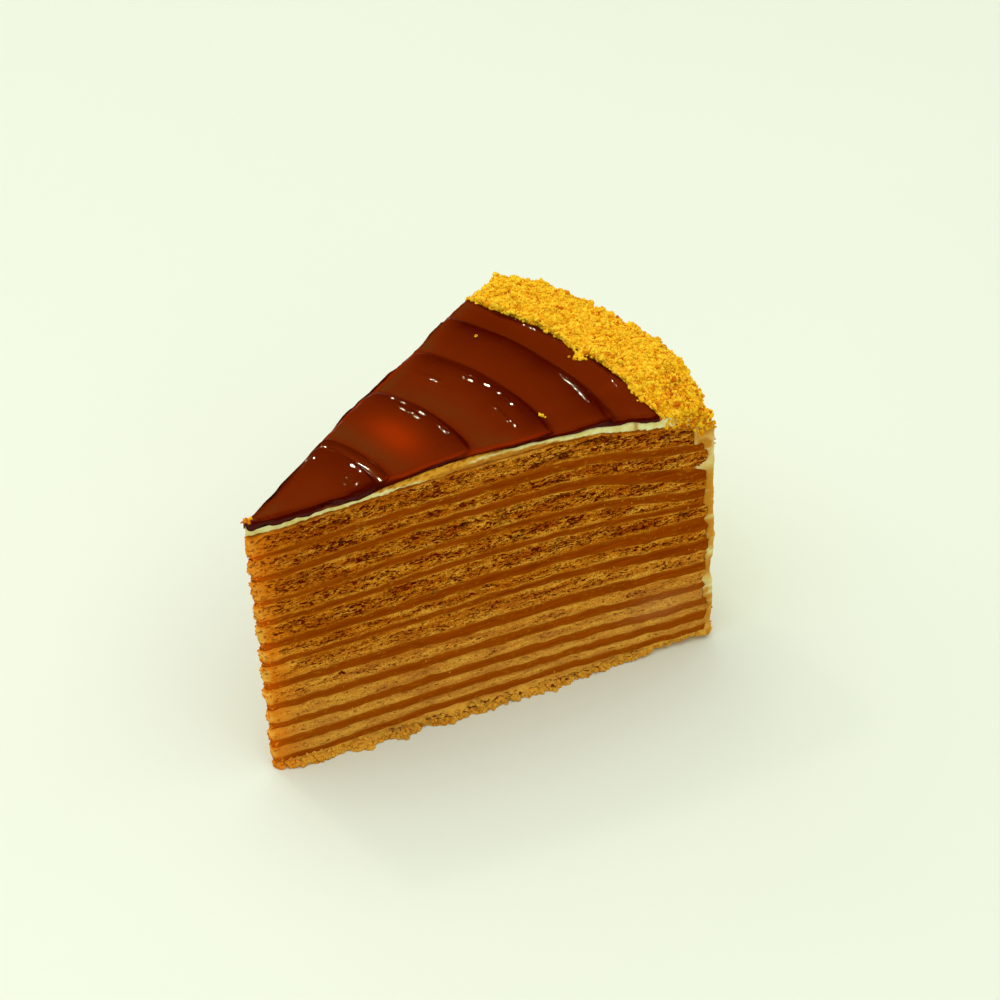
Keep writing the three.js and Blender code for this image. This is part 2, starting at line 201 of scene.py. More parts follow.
def points_of(mesh: bpy.types.Mesh) -> np.ndarray:
    """The mesh's vertices as rows of x, y and z."""
    flat = np.empty(3 * len(mesh.vertices))
    mesh.vertices.foreach_get("co", flat)
    return flat.reshape(-1, 3)


def move_points(mesh: bpy.types.Mesh, points: np.ndarray) -> None:
    """Moves the mesh's vertices to new places."""
    mesh.vertices.foreach_set("co", points.ravel())
    mesh.update()


def normals_of(mesh: bpy.types.Mesh) -> np.ndarray:
    """The mesh's vertex normals as rows of x, y and z."""
    flat = np.empty(3 * len(mesh.vertices))
    mesh.vertex_normals.foreach_get("vector", flat)
    return flat.reshape(-1, 3)


def faces_of(mesh: bpy.types.Mesh) -> tuple[np.ndarray, np.ndarray]:
    """The middles and the normals of the mesh's faces."""
    middles, normals = np.empty(3 * len(mesh.polygons)), np.empty(3 * len(mesh.polygons))
    mesh.polygons.foreach_get("center", middles)
    mesh.polygons.foreach_get("normal", normals)
    return middles.reshape(-1, 3), normals.reshape(-1, 3)


def corners_of(mesh: bpy.types.Mesh, chosen: np.ndarray) -> tuple[np.ndarray, np.ndarray]:
    """Vertex numbers of the corners of chosen faces, and the number of the face that each corner is on."""
    vertices = np.empty(len(mesh.loops), int)
    mesh.loops.foreach_get("vertex_index", vertices)
    totals = np.empty(len(mesh.polygons), int)
    mesh.polygons.foreach_get("loop_total", totals)
    owners = np.repeat(np.arange(len(totals)), totals)
    kept = chosen[owners]
    return vertices[kept], owners[kept]


def write_attribute(mesh: bpy.types.Mesh, name: str, values: np.ndarray) -> None:
    """Keeps a number for each vertex under a name that materials can read."""
    attribute = mesh.attributes.new(name, "FLOAT", "POINT")
    attribute.data.foreach_set("value", np.ascontiguousarray(values, np.float32))


def merged_copy(node: str, name: str) -> bpy.types.Object:
    """Copies a CAD node, with its loose triangles merged and paired into quads.

    Args:
        node: name of the node.
        name: name of the copy.

    Returns:
        The copy.
    """
    obj = bpy.data.objects.new(name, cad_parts[node].data.copy())
    bpy.context.scene.collection.objects.link(obj)
    obj.data.materials.clear()
    activate(obj)
    bpy.ops.mesh.customdata_custom_splitnormals_clear()
    bpy.ops.object.mode_set(mode="EDIT")
    bpy.ops.mesh.select_all(action="SELECT")
    bpy.ops.mesh.remove_doubles(threshold=MERGE_DISTANCE)
    bpy.ops.mesh.tris_convert_to_quads(face_threshold=math.radians(20), shape_threshold=math.radians(80))
    bpy.ops.mesh.normals_make_consistent(inside=False)
    bpy.ops.object.mode_set(mode="OBJECT")
    return obj


def select_faces(obj: bpy.types.Object, chosen: np.ndarray) -> None:
    """Selects the chosen faces of the active object and nothing else, and goes into edit mode."""
    for elements in (obj.data.vertices, obj.data.edges):
        elements.foreach_set("select", np.zeros(len(elements), bool))
    obj.data.polygons.foreach_set("select", chosen)
    bpy.context.tool_settings.mesh_select_mode = (False, False, True)
    bpy.ops.object.mode_set(mode="EDIT")


def remesh(obj: bpy.types.Object, cell: float) -> None:
    """Gives an object an even mesh.

    Args:
        obj: the object.
        cell: size of its new faces, in millimetres.
    """
    activate(obj)
    modifier = obj.modifiers.new("even_mesh", "REMESH")
    modifier.mode = "VOXEL"
    modifier.voxel_size = cell * MM
    bpy.ops.object.modifier_apply(modifier=modifier.name)


def hand_over(obj: bpy.types.Object, slot: Slot, material: bpy.types.Material, *nodes: str) -> None:
    """Finishes a piece and gives it to the frame.

    Args:
        obj: the piece.
        slot: the material slot for it; not used.
        material: its finish.
        nodes: the CAD nodes that it stands for.
    """
    obj.data.materials.clear()
    obj.data.materials.append(material)
    obj.data.polygons.foreach_set("use_smooth", np.ones(len(obj.data.polygons), bool))
    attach(obj, BODY)
    if nodes:
        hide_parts(*nodes)
    LOG.info("%s: %d faces", obj.name, len(obj.data.polygons))


# ---- Finishes ----


def linear(hex_colour: str) -> tuple[float, float, float, float]:
    """Turns an sRGB colour such as #aa5500 to linear red, green, blue and alpha."""
    channels = (int(hex_colour[i : i + 2], 16) / 255 for i in (1, 3, 5))
    return (*(c / 12.92 if c <= 0.04045 else ((c + 0.055) / 1.055) ** 2.4 for c in channels), 1.0)


def per_metre(lengths_mm: tuple[float, float, float]) -> tuple[float, ...]:
    """How many times a pattern repeats in a metre along each axis, from its lengths in millimetres."""
    return tuple(1 / (length * MM) for length in lengths_mm)


def add_node(
    tree: bpy.types.NodeTree,
    kind: str,
    settings: dict[str | int, Any] | None = None,
    links: dict[str | int, bpy.types.NodeSocket] | None = None,
) -> bpy.types.Node:
    """Adds a node to a material.

    Args:
        tree: the material's nodes.
        kind: the node's type.
        settings: its properties and the values of its inputs, by name or place; stops fill a colour ramp.
        links: the sockets that feed its inputs, by name or place.

    Returns:
        The node.
    """
    node = tree.nodes.new(kind)
    for key, value in (settings or {}).items():
        if key == "stops":
            elements = node.color_ramp.elements
            while len(elements) < len(value):
                elements.new(0.5)
            for element, (position, colour) in zip(elements, value):
                element.position = position
                element.color = linear(colour) if isinstance(colour, str) else (colour,) * 3 + (1.0,)
        elif isinstance(key, str) and hasattr(node, key):
            setattr(node, key, value)
        else:
            node.inputs[key].default_value = value
    for key, socket in (links or {}).items():
        tree.links.new(socket, node.inputs[key])
    return node


def new_material(name: str, settings: dict[str, Any]) -> tuple[bpy.types.Material, bpy.types.NodeSocket]:
    """Starts a material.

    Args:
        name: its name.
        settings: values for its shader's inputs.

    Returns:
        The material, and the socket with Object coordinates.
    """
    material = bpy.data.materials.new(name)
    material.use_nodes = True
    shader = material.node_tree.nodes["Principled BSDF"]
    for key, value in settings.items():
        shader.inputs[key].default_value = value
    coordinates = add_node(material.node_tree, "ShaderNodeTexCoord")
    return material, coordinates.outputs["Object"]


def tinted(
    tree: bpy.types.NodeTree, colour: bpy.types.NodeSocket, tints: dict[str, str]
) -> bpy.types.NodeSocket:
    """Lays tints over a colour, one on the other, each as far as its attribute says.

    Args:
        tree: the material's nodes.
        colour: the socket with the colour under them.
        tints: the tint for each attribute.

    Returns:
        The socket with the tinted colour.
    """
    for name, tint in tints.items():
        amount = add_node(tree, "ShaderNodeAttribute", {"attribute_name": name})
        colour = add_node(
            tree, "ShaderNodeMix", {"data_type": "RGBA", 7: linear(tint)},
            {0: amount.outputs["Fac"], 6: colour},
        ).outputs[2]
    return colour


def complete(
    material: bpy.types.Material,
    colour: bpy.types.NodeSocket,
    height: bpy.types.NodeSocket,
    strength: float,
    depth_mm: float,
) -> bpy.types.Material:
    """Gives a material its colour and its relief.

    Args:
        material: the material.
        colour: the socket with its colour.
        height: the socket with the height of its relief.
        strength: how much of the relief shows.
        depth_mm: depth of the relief, in millimetres.

    Returns:
        The material.
    """
    tree = material.node_tree
    bump = add_node(
        tree, "ShaderNodeBump", {"Strength": strength, "Distance": depth_mm * MM}, {"Height": height}
    )
    shader = tree.nodes["Principled BSDF"]
    tree.links.new(colour, shader.inputs["Base Color"])
    tree.links.new(bump.outputs["Normal"], shader.inputs["Normal"])
    return material


@dataclass(frozen=True)
class BakedBiscuit:
    """Baked honey biscuit gone soft in cream: a matt, porous crumb with hollows painted darker as painted
    shade, and soaked borders.
    """

    # To the eye: no shine at all, warm light in the crumb, and rows of dark dashes where the knife opened it.
    pale: str = "#ecaa3a"
    middle: str = "#ca7a14"
    deep: str = "#a04602"
    # pore and hollow: painted shade in the pores and pits
    pore: str = "#641400"
    hollow: str = "#4a0600"
    # real soaked borders; the same tint also paints shade on the top of the point
    soaked: str = "#984001"
    # painted bounce light from the floor, on the lowest layers
    light: str = "#eab656"
    # painted glow of light coming through the thin point
    glow: str = "#ee8416"
    # painted light: the blunt end of the point, lit where the light catches it
    rim: str = "#ffc850"
    crust: str = "#e4a838"
    haze: str = "#d29a5c"
    grain_mm: float = 0.35
    blotch_mm: tuple[float, float, float] = (9.0, 9.0, 1.6)
    # A millimetre is about 4 pixels from the camera, too few for the finest pores, so all are drawn coarser.
    pore_mm: tuple[float, float, float] = (1.3, 1.3, 0.36)

    def material(self) -> bpy.types.Material:
        """Builds the material."""
        material, place = new_material(
            "baked_honey_biscuit",
            {
                "Roughness": 0.9,
                "Specular IOR Level": 0.0,
                "Subsurface Weight": 0.06,
                "Subsurface Scale": 1.0 * MM,
                "Subsurface Radius": (1.0, 0.45, 0.15),
            },
        )
        tree = material.node_tree
        drawn_out = add_node(
            tree, "ShaderNodeMapping", {"Scale": per_metre(self.blotch_mm)}, {"Vector": place}
        )
        blotches = add_node(
            tree, "ShaderNodeTexNoise", {"Scale": 1.0, "Detail": 3.0}, {"Vector": drawn_out.outputs["Vector"]}
        )
        grain = add_node(
            tree, "ShaderNodeTexNoise", {"Scale": 1 / (self.grain_mm * MM), "Detail": 4.0}, {"Vector": place}
        )
        mottle = add_node(
            tree, "ShaderNodeMath", {"operation": "ADD"},
            {0: blotches.outputs["Fac"], 1: grain.outputs["Fac"]},
        )
        openness = add_node(tree, "ShaderNodeAttribute", {"attribute_name": "open"})
        darker = add_node(
            tree, "ShaderNodeMath", {"operation": "MULTIPLY_ADD", 1: -0.07},
            {0: openness.outputs["Fac"], 2: mottle.outputs[0]},
        )
        halved = add_node(tree, "ShaderNodeMath", {"operation": "MULTIPLY", 1: 0.5}, {0: darker.outputs[0]})
        colour = add_node(
            tree, "ShaderNodeValToRGB", {"stops": ((0.38, self.deep), (0.5, self.middle), (0.6, self.pale))},
            {"Fac": halved.outputs[0]},
        ).outputs["Color"]
        tints = {
            "low": self.light,
            "crust": self.crust,
            "soak": self.soaked,
            "thin": self.glow,
            "rim": self.rim,
            "pore": self.hollow,
            "haze": self.haze,
        }
        colour = tinted(tree, colour, tints)
        # the fine pores are painted dark: painted shade in them
        pores = self.pores(tree, place, openness.outputs["Fac"])
        colour = add_node(
            tree, "ShaderNodeMix", {"data_type": "RGBA", 7: linear(self.pore)}, {0: pores, 6: colour}
        ).outputs[2]
        height = add_node(
            tree, "ShaderNodeMath", {"operation": "MULTIPLY_ADD", 1: -1.5},
            {0: pores, 2: grain.outputs["Fac"]},
        )
        return complete(material, colour, height.outputs[0], 0.6, 0.16)

    def pores(
        self, tree: bpy.types.NodeTree, place: bpy.types.NodeSocket, openness: bpy.types.NodeSocket
    ) -> bpy.types.NodeSocket:
        """Adds the fine pores, which lie flat as the dough was rolled, and more closely where it is open.

        Args:
            tree: the material's nodes.
            place: the socket with Object coordinates.
            openness: the socket that tells how open the biscuit is.

        Returns:
            A socket that is 1 in a pore and 0 beside it.
        """
        stretched = add_node(
            tree, "ShaderNodeMapping", {"Scale": per_metre(self.pore_mm)}, {"Vector": place}
        )
        holes = add_node(
            tree, "ShaderNodeTexNoise", {"Scale": 1.0, "Detail": 3.0, "Roughness": 0.6},
            {"Vector": stretched.outputs["Vector"]},
        )
        lifted = add_node(
            tree, "ShaderNodeMath", {"operation": "MULTIPLY_ADD", 1: 0.13},
            {0: openness, 2: holes.outputs["Fac"]},
        )
        edge = add_node(
            tree, "ShaderNodeMapRange", {"interpolation_type": "SMOOTHSTEP", 1: 0.655, 2: 0.695},
            {0: lifted.outputs[0]},
        )
        return edge.outputs[0]


@dataclass(frozen=True)
class CaramelCream:
    """Butter cream with boiled condensed milk: dense, satin, drawn into faint streaks by the knife."""

    # To the eye: smooth dark bands between the rough biscuits, orange where light comes through the point.
    light: str = "#9c4400"
    dark: str = "#7c2e00"
    crumb: str = "#b06c0e"
    # painted bounce light from the floor, on the lowest layers
    floor_bounce_tint: str = "#b25a06"
    # painted glow of light coming through the thin point
    glow: str = "#e86408"
    haze: str = "#c08a54"
    streak_mm: tuple[float, float, float] = (9.0, 9.0, 0.7)

    def material(self) -> bpy.types.Material:
        """Builds the material."""
        material, place = new_material(
            "caramel_butter_cream",
            {
                "Roughness": 0.6,
                "Specular IOR Level": 0.0,
                "Subsurface Weight": 0.08,
                "Subsurface Scale": 1.5 * MM,
                "Subsurface Radius": (1.0, 0.4, 0.1),
            },
        )
        tree = material.node_tree
        stretched = add_node(
            tree, "ShaderNodeMapping", {"Scale": per_metre(self.streak_mm)}, {"Vector": place}
        )
        streaks = add_node(
            tree, "ShaderNodeTexNoise", {"Scale": 1.0, "Detail": 4.0}, {"Vector": stretched.outputs["Vector"]}
        )
        colour = add_node(
            tree, "ShaderNodeValToRGB", {"stops": ((0.3, self.dark), (0.7, self.light))},
            {"Fac": streaks.outputs["Fac"]},
        ).outputs["Color"]
        tints = {"low": self.floor_bounce_tint, "smear": self.crumb, "thin": self.glow, "haze": self.haze}
        return complete(material, tinted(tree, colour, tints), streaks.outputs["Fac"], 0.35, 0.1)


@dataclass(frozen=True)
class WhiteCream:
    """Sour cream icing: pale and satin, yellowed where it has soaked into crumbs."""

    # To the eye: the only pale part of the slice, soft at its edges because light goes a little way in.
    clean: str = "#efe8a4"
    shaded: str = "#e2cc70"
    soaked: str = "#e2a028"
    stained: str = "#b26a0c"
    patch_mm: float = 3.0
    grain_mm: float = 0.5

    def material(self) -> bpy.types.Material:
        """Builds the material."""
        material, place = new_material(
            "sour_cream_icing",
            {
                "Roughness": 0.5,
                "Specular IOR Level": 0.1,
                "Subsurface Weight": 0.1,
                "Subsurface Scale": 1.0 * MM,
                "Subsurface Radius": (1.0, 0.8, 0.4),
            },
        )
        tree = material.node_tree
        patches = add_node(
            tree, "ShaderNodeTexNoise", {"Scale": 1 / (self.patch_mm * MM), "Detail": 4.0}, {"Vector": place}
        )
        grain = add_node(
            tree, "ShaderNodeTexNoise", {"Scale": 1 / (self.grain_mm * MM), "Detail": 3.0}, {"Vector": place}
        )
        colour = add_node(
            tree, "ShaderNodeValToRGB", {"stops": ((0.35, self.shaded), (0.6, self.clean))},
            {"Fac": patches.outputs["Fac"]},
        ).outputs["Color"]
        colour = tinted(tree, colour, {"soak": self.soaked, "stain": self.stained})
        return complete(material, colour, grain.outputs["Fac"], 0.4, 0.15)


@dataclass(frozen=True)
class PouredCaramel:
    """Poured caramel: glossy and half clear, olive-brown where thin over cream, which also stands in for a
    painted sheen of the room, nearly black where deep.
    """

    # To the eye: a dark red-brown body under a clear skin, whose wrinkles catch small sharp highlights.
    # olive-brown for thin caramel over cream, also a painted sheen standing in for the room's reflection
    thin: str = "#663210"
    middle: str = "#6c2103"
    full: str = "#5c1801"
    deep: str = "#440700"
    # painted glow of light coming through the caramel
    glow: str = "#aa3003"
    cloud_mm: float = 14.0

    def material(self) -> bpy.types.Material:
        """Builds the material."""
        material, place = new_material(
            "poured_caramel",
            {
                "Roughness": 0.5,
                "Specular IOR Level": 0.0,
                "Coat Weight": 0.28,
                "Coat Roughness": 0.03,
                "Coat IOR": 1.38,
                "Subsurface Weight": 0.05,
                "Subsurface Scale": 2.0 * MM,
                "Subsurface Radius": (1.0, 0.2, 0.05),
            },
        )
        tree = material.node_tree
        clouds = add_node(
            tree, "ShaderNodeTexNoise", {"Scale": 1 / (self.cloud_mm * MM), "Detail": 3.0}, {"Vector": place}
        )
        depth = add_node(tree, "ShaderNodeAttribute", {"attribute_name": "depth"})
        shifted = add_node(
            tree, "ShaderNodeMath", {"operation": "MULTIPLY_ADD", 1: 0.25},
            {0: clouds.outputs["Fac"], 2: depth.outputs["Fac"]},
        )
        scaled = add_node(tree, "ShaderNodeMath", {"operation": "MULTIPLY", 1: 0.85}, {0: shifted.outputs[0]})
        tones = add_node(
            tree, "ShaderNodeValToRGB",
            {"stops": ((0.34, self.thin), (0.52, self.middle), (0.72, self.full), (0.9, self.deep))},
            {"Fac": scaled.outputs[0]},
        )
        colour = tinted(tree, tones.outputs["Color"], {"glow": self.glow})
        return complete(material, colour, clouds.outputs["Fac"], 0.05, 0.2)


@dataclass(frozen=True)
class GoldenCrumb:
    """Biscuit baked through and rubbed to crumbs: matt and golden, some toasted orange-brown."""

    # To the eye: bright dry grains that differ in tone from one to the next.
    pale: str = "#ffd634"
    golden: str = "#fab814"
    toasted: str = "#cc6604"
    # The grain in a crumb is too fine to show, so it is drawn as coarse as this.
    grain_mm: float = 0.4

    def material(self) -> bpy.types.Material:
        """Builds the material."""
        material, place = new_material(
            "golden_biscuit_crumb",
            {
                "Roughness": 0.9,
                "Specular IOR Level": 0.05,
                "Subsurface Weight": 0.2,
                "Subsurface Scale": 0.8 * MM,
                "Subsurface Radius": (1.0, 0.6, 0.2),
            },
        )
        tree = material.node_tree
        grain = add_node(
            tree, "ShaderNodeTexNoise", {"Scale": 1 / (self.grain_mm * MM), "Detail": 3.0}, {"Vector": place}
        )
        tone = add_node(tree, "ShaderNodeAttribute", {"attribute_name": "tone"})
        shifted = add_node(
            tree, "ShaderNodeMath", {"operation": "MULTIPLY_ADD", 1: 0.35},
            {0: grain.outputs["Fac"], 2: tone.outputs["Fac"]},
        )
        colour = add_node(
            tree, "ShaderNodeValToRGB",
            {"stops": ((0.2, self.pale), (0.75, self.golden), (1.0, self.toasted))},
            {"Fac": shifted.outputs[0]},
        )
        return complete(material, colour.outputs["Color"], grain.outputs["Fac"], 0.5, 0.15)


@dataclass(frozen=True)
class PaleTable:
    """A plain matt floor in a pale tint."""

    # To the eye: even and without shine, with only the slice's soft shadow on it.
    tint: str = "#e9efe2"
    shade: str = "#e4eadd"
    cloud_mm: float = 300.0

    def material(self) -> bpy.types.Material:
        """Builds the material."""
        settings = {"Roughness": 0.7, "Specular IOR Level": 0.2}
        material, place = new_material("pale_matt_paint", settings)
        clouds = add_node(
            material.node_tree, "ShaderNodeTexNoise", {"Scale": 1 / (self.cloud_mm * MM)}, {"Vector": place}
        )
        colour = add_node(
            material.node_tree, "ShaderNodeMix",
            {"data_type": "RGBA", 6: linear(self.tint), 7: linear(self.shade)},
            {0: clouds.outputs["Fac"]},
        )
        shader = material.node_tree.nodes["Principled BSDF"]
        material.node_tree.links.new(colour.outputs[2], shader.inputs["Base Color"])
        return material


# ---- The cut sides ----


@dataclass(frozen=True)
class KnifeCut:
    """The unevenness that the knife left, the same for every layer that it went through, in millimetres.

    Attributes:
        wander: how far the cut wanders in and out.
        wander_length: how long its waves are.
        warp: how far the layers were dragged up and down.
        warp_length: how long the waves of that are.
        foot: the layers are dragged less below this height, as the slice stands flat.
        tear: how far crumbs stand out round the point.
        noise: the noise that all of it follows.
    """

    wander: float = 0.3
    wander_length: float = 9.0
    warp: float = 0.34
    warp_length: float = 5.0
    foot: float = 4.0
    tear: float = 0.5
    noise: Noise = Noise(3)

    def outward(self, points: np.ndarray) -> np.ndarray:
        """How far the cut stands out at points given in metres."""
        return self.wander * self.noise.fractal(points / MM, self.wander_length, 3)

    def torn(self, points: np.ndarray) -> np.ndarray:
        """How far crumbs stand out round the point of the slice, where the knife tore them."""
        near_point = bell(Places.of(points).radius, 0.0, 5.0)
        return self.tear * near_point * self.noise.fractal(points / MM + 7.0, 1.3, 2)

    def upward(self, points: np.ndarray) -> np.ndarray:
        """How far a layer rises at points given in metres. The foot of the slice stays flat."""
        rise = self.warp * self.noise.fractal(points / MM + 51.0, self.warp_length, 3)
        return rise * smooth_step(0.0, self.foot, points[:, 2] / MM)


KNIFE_CUT = KnifeCut()


@dataclass(frozen=True)
class Hollow:
    """A pit or crack in a cut side: its middle, half its length and half its height, in millimetres."""

    radius: float
    height: float
    length: float
    thickness: float


HOLLOWS = (
    Hollow(75.0, 68.9, 3.0, 0.5),
    Hollow(81.0, 69.6, 3.6, 0.6),
    Hollow(87.5, 71.2, 4.2, 0.6),
    Hollow(81.5, 68.4, 2.6, 0.4),
    Hollow(91.0, 70.4, 2.2, 0.4),
    Hollow(108.0, 66.3, 2.4, 0.5),
    Hollow(112.6, 66.0, 1.8, 0.5),
    Hollow(24.8, 62.8, 1.2, 0.7),
    Hollow(55.3, 57.4, 1.6, 0.9),
    Hollow(70.2, 50.4, 0.8, 0.6),
    Hollow(113.4, 41.0, 1.1, 0.6),
    Hollow(88.4, 29.5, 0.8, 0.5),
    Hollow(79.8, 18.5, 0.4, 0.5),
    Hollow(89.8, 18.1, 0.5, 0.5),
    Hollow(22.2, 23.9, 0.8, 0.5),
)
FAR_SHIFT = 116.0  # on the second cut the same hollows lie at this radius minus their own


@dataclass
class CutLayer:
    """One layer of the stack, with a fine surface on its cut sides.

    Attributes:
        node: the CAD node that it stands for.
        cuts: how often each face of a cut side is divided, each way.
        step: faces of a cut side are no longer than this before that, in millimetres.
        overlap: how far it spreads over its neighbours to close the gap to them, in millimetres.
    """

    node: str
    cuts: int
    step: float
    overlap: float

    GLOW_REACH = 8.0  # the point is painted glowing as far as this, painted light coming through it
    FLOOR_BOUNCE_LIGHT = 0.3  # how much lighter the lowest layers are painted, as painted light bounced up from the floor
    SMUDGE = 0.22  # how much pale cream is smudged over the low layers near the rim

    def side_faces(self, mesh: bpy.types.Mesh) -> np.ndarray:
        """Which faces are on the cut sides and round the point, and not on the top, the bottom or the rim."""
        middles, normals = faces_of(mesh)
        places = Places.of(middles)
        outwards = outwards_of(places, normals)
        return (np.abs(normals[:, 2]) < LEVEL) & (outwards < 0.7) & (places.radius < RIM_START + 10)

    def refine(self, obj: bpy.types.Object) -> None:
        """Divides the faces of the cut sides finely."""
        mesh = obj.data
        vertices, _ = corners_of(mesh, self.side_faces(mesh))
        lines = np.unique(np.round(points_of(mesh)[vertices, 0], 5))
        select_faces(obj, self.side_faces(mesh))
        for first, second in itertools.pairwise(lines):
            parts = round((second - first) / (self.step * MM))
            for n in range(1, parts):
                bpy.ops.mesh.bisect(
                    plane_co=(first + (second - first) * n / parts, 0.0, 0.0), plane_no=(1.0, 0.0, 0.0)
                )
                bpy.ops.object.mode_set(mode="OBJECT")
                select_faces(obj, self.side_faces(mesh))
        bpy.ops.mesh.subdivide(number_cuts=self.cuts, ngon=True)
        bpy.ops.object.mode_set(mode="OBJECT")

    def side_skin(self, mesh: bpy.types.Mesh) -> tuple[np.ndarray, np.ndarray]:
        """The vertices of the cut sides, and the level direction in which each looks out."""
        chosen = self.side_faces(mesh)
        vertices, owners = corners_of(mesh, chosen)
        _, normals = faces_of(mesh)
        summed = np.zeros((len(mesh.vertices), 3))
        np.add.at(summed, vertices, normals[owners])
        summed[:, 2] = 0.0
        skin = np.unique(vertices)
        outward = summed[skin]
        return skin, outward / np.maximum(np.linalg.norm(outward, axis=1, keepdims=True), 1e-9)

    def edge_distances(self, mesh: bpy.types.Mesh, skin: np.ndarray) -> tuple[np.ndarray, np.ndarray]:
        """How far each vertex of the skin is above the layer's lower edge and below its upper edge.

        Args:
            mesh: the layer's mesh.
            skin: numbers of the skin's vertices.

        Returns:
            Two distances for each vertex, in millimetres.
        """
        points = points_of(mesh)
        places = Places.of(points)
        _, normals = faces_of(mesh)
        distances = []
        for sign in (1, -1):
            edge = np.intersect1d(corners_of(mesh, sign * normals[:, 2] > LEVEL)[0], skin)
            distance = np.empty(len(skin))
            for cut in (-1, 1):
                on_edge = edge[points[edge, 1] * cut >= 0]
                on_edge = on_edge[np.argsort(places.radius[on_edge])]
                on_skin = points[skin, 1] * cut >= 0
                ends = np.interp(places.radius[skin[on_skin]], places.radius[on_edge], places.height[on_edge])
                distance[on_skin] = sign * (ends - places.height[skin[on_skin]])
            distances.append(distance)
        return distances[1], distances[0]

    def carve(self, points: np.ndarray, below: np.ndarray, above: np.ndarray) -> tuple[np.ndarray, Marks]:
        """The relief of the cut sides.

        Args:
            points: the skin's vertices, in metres.
            below: their distances from the lower edge.
            above: their distances from the upper edge.

        Returns:
            How far each stands out, in millimetres, and the numbers that the material reads.
        """
        raise NotImplementedError

    def build(self) -> bpy.types.Object:
        """Makes the layer's mesh."""
        obj = merged_copy(self.node, f"cut_{self.node}")
        self.refine(obj)
        mesh = obj.data
        skin, outward = self.side_skin(mesh)
        below, above = self.edge_distances(mesh, skin)
        points = points_of(mesh)
        spots = points[skin]
        relief, marks = self.carve(spots, below, above)
        relief = relief + KNIFE_CUT.outward(spots) + KNIFE_CUT.torn(spots)
        spread = self.overlap * (bell(above, 0.0, 0.1) - bell(below, 0.0, 0.1))
        points[skin] += outward * relief[:, None] * MM
        points[skin, 2] += (KNIFE_CUT.upward(spots) + spread) * MM
        move_points(mesh, points)
        places = Places.of(spots)
        # thin paints the point lighter and more orange: painted glow of light coming through it
        marks["thin"] = bell(places.radius, 0.0, self.GLOW_REACH)
        # the low mark paints the lowest layers lighter: painted bounce light from the floor
        marks["low"] = self.FLOOR_BOUNCE_LIGHT * smooth_step(36.0, 8.0, places.height)
        smudge = bell(places.radius, 106.0, 9.0) * bell(places.height, 15.0, 3.5)
        marks["haze"] = self.SMUDGE * smudge * (places.angle < 0)
        for name, values in marks.items():
            whole = np.zeros(len(points))
            whole[skin] = values
            write_attribute(mesh, name, whole)
        return obj


@dataclass
class Biscuit(CutLayer):
    """A biscuit layer: pores, crumbs and cracks.

    Attributes:
        openness: from 0, soaked and dense, to 1, dry and full of pores.
        seed: number that its pores follow from.
    """

    openness: float = 0.5
    seed: int = 0

    PORE_DEPTH = 0.5
    GRAIN_HEIGHT = 0.13
    HOLLOW_DEPTH = 1.3
    BULGE = 0.4  # a biscuit stands out from the cream round the point of the slice
    POINT_TOP_SHADE = 0.75  # how much darker the top of the point is painted, as painted shade

    def carve(self, points: np.ndarray, below: np.ndarray, above: np.ndarray) -> tuple[np.ndarray, Marks]:
        """The relief of the cut sides, as in CutLayer."""
        noise = Noise(100 + self.seed)
        spots = points / MM
        places = Places.of(points)
        edge = np.minimum(below, above)
        drift = 0.2 * noise(spots, 2.5)
        level = spots + np.outer(drift, (0.0, 0.0, 1.0))
        dashes = noise(level, (1.5, 1.5, 0.42)) + 0.5 * noise(level + 31.0, (0.7, 0.7, 0.3))
        rows = noise(level + 77.0, (6.0, 6.0, 1.3))
        bias = 0.64 - 0.34 * self.openness - 0.2 * rows
        pore = smooth_step(0.0, 0.14, dashes - bias) * smooth_step(0.1, 0.55, edge)
        open_share = self.openness + 0.5 * rows + 0.3 * smooth_step(0.4, 1.4, edge) - 0.3
        open_share -= 1.6 * smooth_step(0.55, 0.1, edge) + 1.2 * bell(places.radius, 0.0, 6.0)
        hollow = np.zeros(len(points))
        ragged = 0.45 * noise(spots + 9.0, (1.0, 1.0, 0.5))
        for pit in HOLLOWS:
            along = places.radius - np.where(points[:, 1] < 0, pit.radius, FAR_SHIFT - pit.radius)
            reach = np.hypot(along / pit.length, (places.height - pit.height) / pit.thickness)
            hollow = np.maximum(hollow, smooth_step(0.0, 0.5, 1.0 - reach + ragged))
        hollow *= smooth_step(0.0, 0.3, edge)
        grain = noise(spots, 0.75) + 0.6 * noise(spots + 5.0, 0.4)
        relief = self.GRAIN_HEIGHT * grain * smooth_step(0.0, 0.5, edge)
        relief -= self.PORE_DEPTH * pore + self.HOLLOW_DEPTH * hollow
        at_point = bell(places.radius, 2.0, 3.0)
        relief += self.BULGE * at_point * smooth_step(0.0, 1.4, edge)
        wet = 0.65 + 0.5 * noise(spots + 3.0, (2.5, 2.5, 0.8))
        soak = np.exp(-edge / 0.4) * np.clip(wet, 0.0, 1.0)
        # the upper part of the point is painted darker in patches, as painted shade
        point_top_shade = smooth_step(42.0, 64.0, places.height) * smooth_step(34.0, 6.0, places.radius)
        soak += self.POINT_TOP_SHADE * point_top_shade * np.clip(0.6 + noise(spots + 13.0, (3.5, 3.5, 1.2)), 0.0, 1.0)
        # the blunt end of the point is painted lighter, a painted lit edge, fading towards the top
        rim = smooth_step(5.0, 2.8, places.radius) * smooth_step(0.2, 1.0, edge)
        marks = {
            # pores and pits painted dark: painted shade in the hollows
            "pore": np.maximum(pore * 0.6, hollow),
            "soak": np.clip(soak, 0.0, 1.0),
            "open": open_share,
            "rim": 0.75 * rim * (1.0 - 0.7 * smooth_step(34.0, 58.0, places.height)),
        }
        return relief, marks


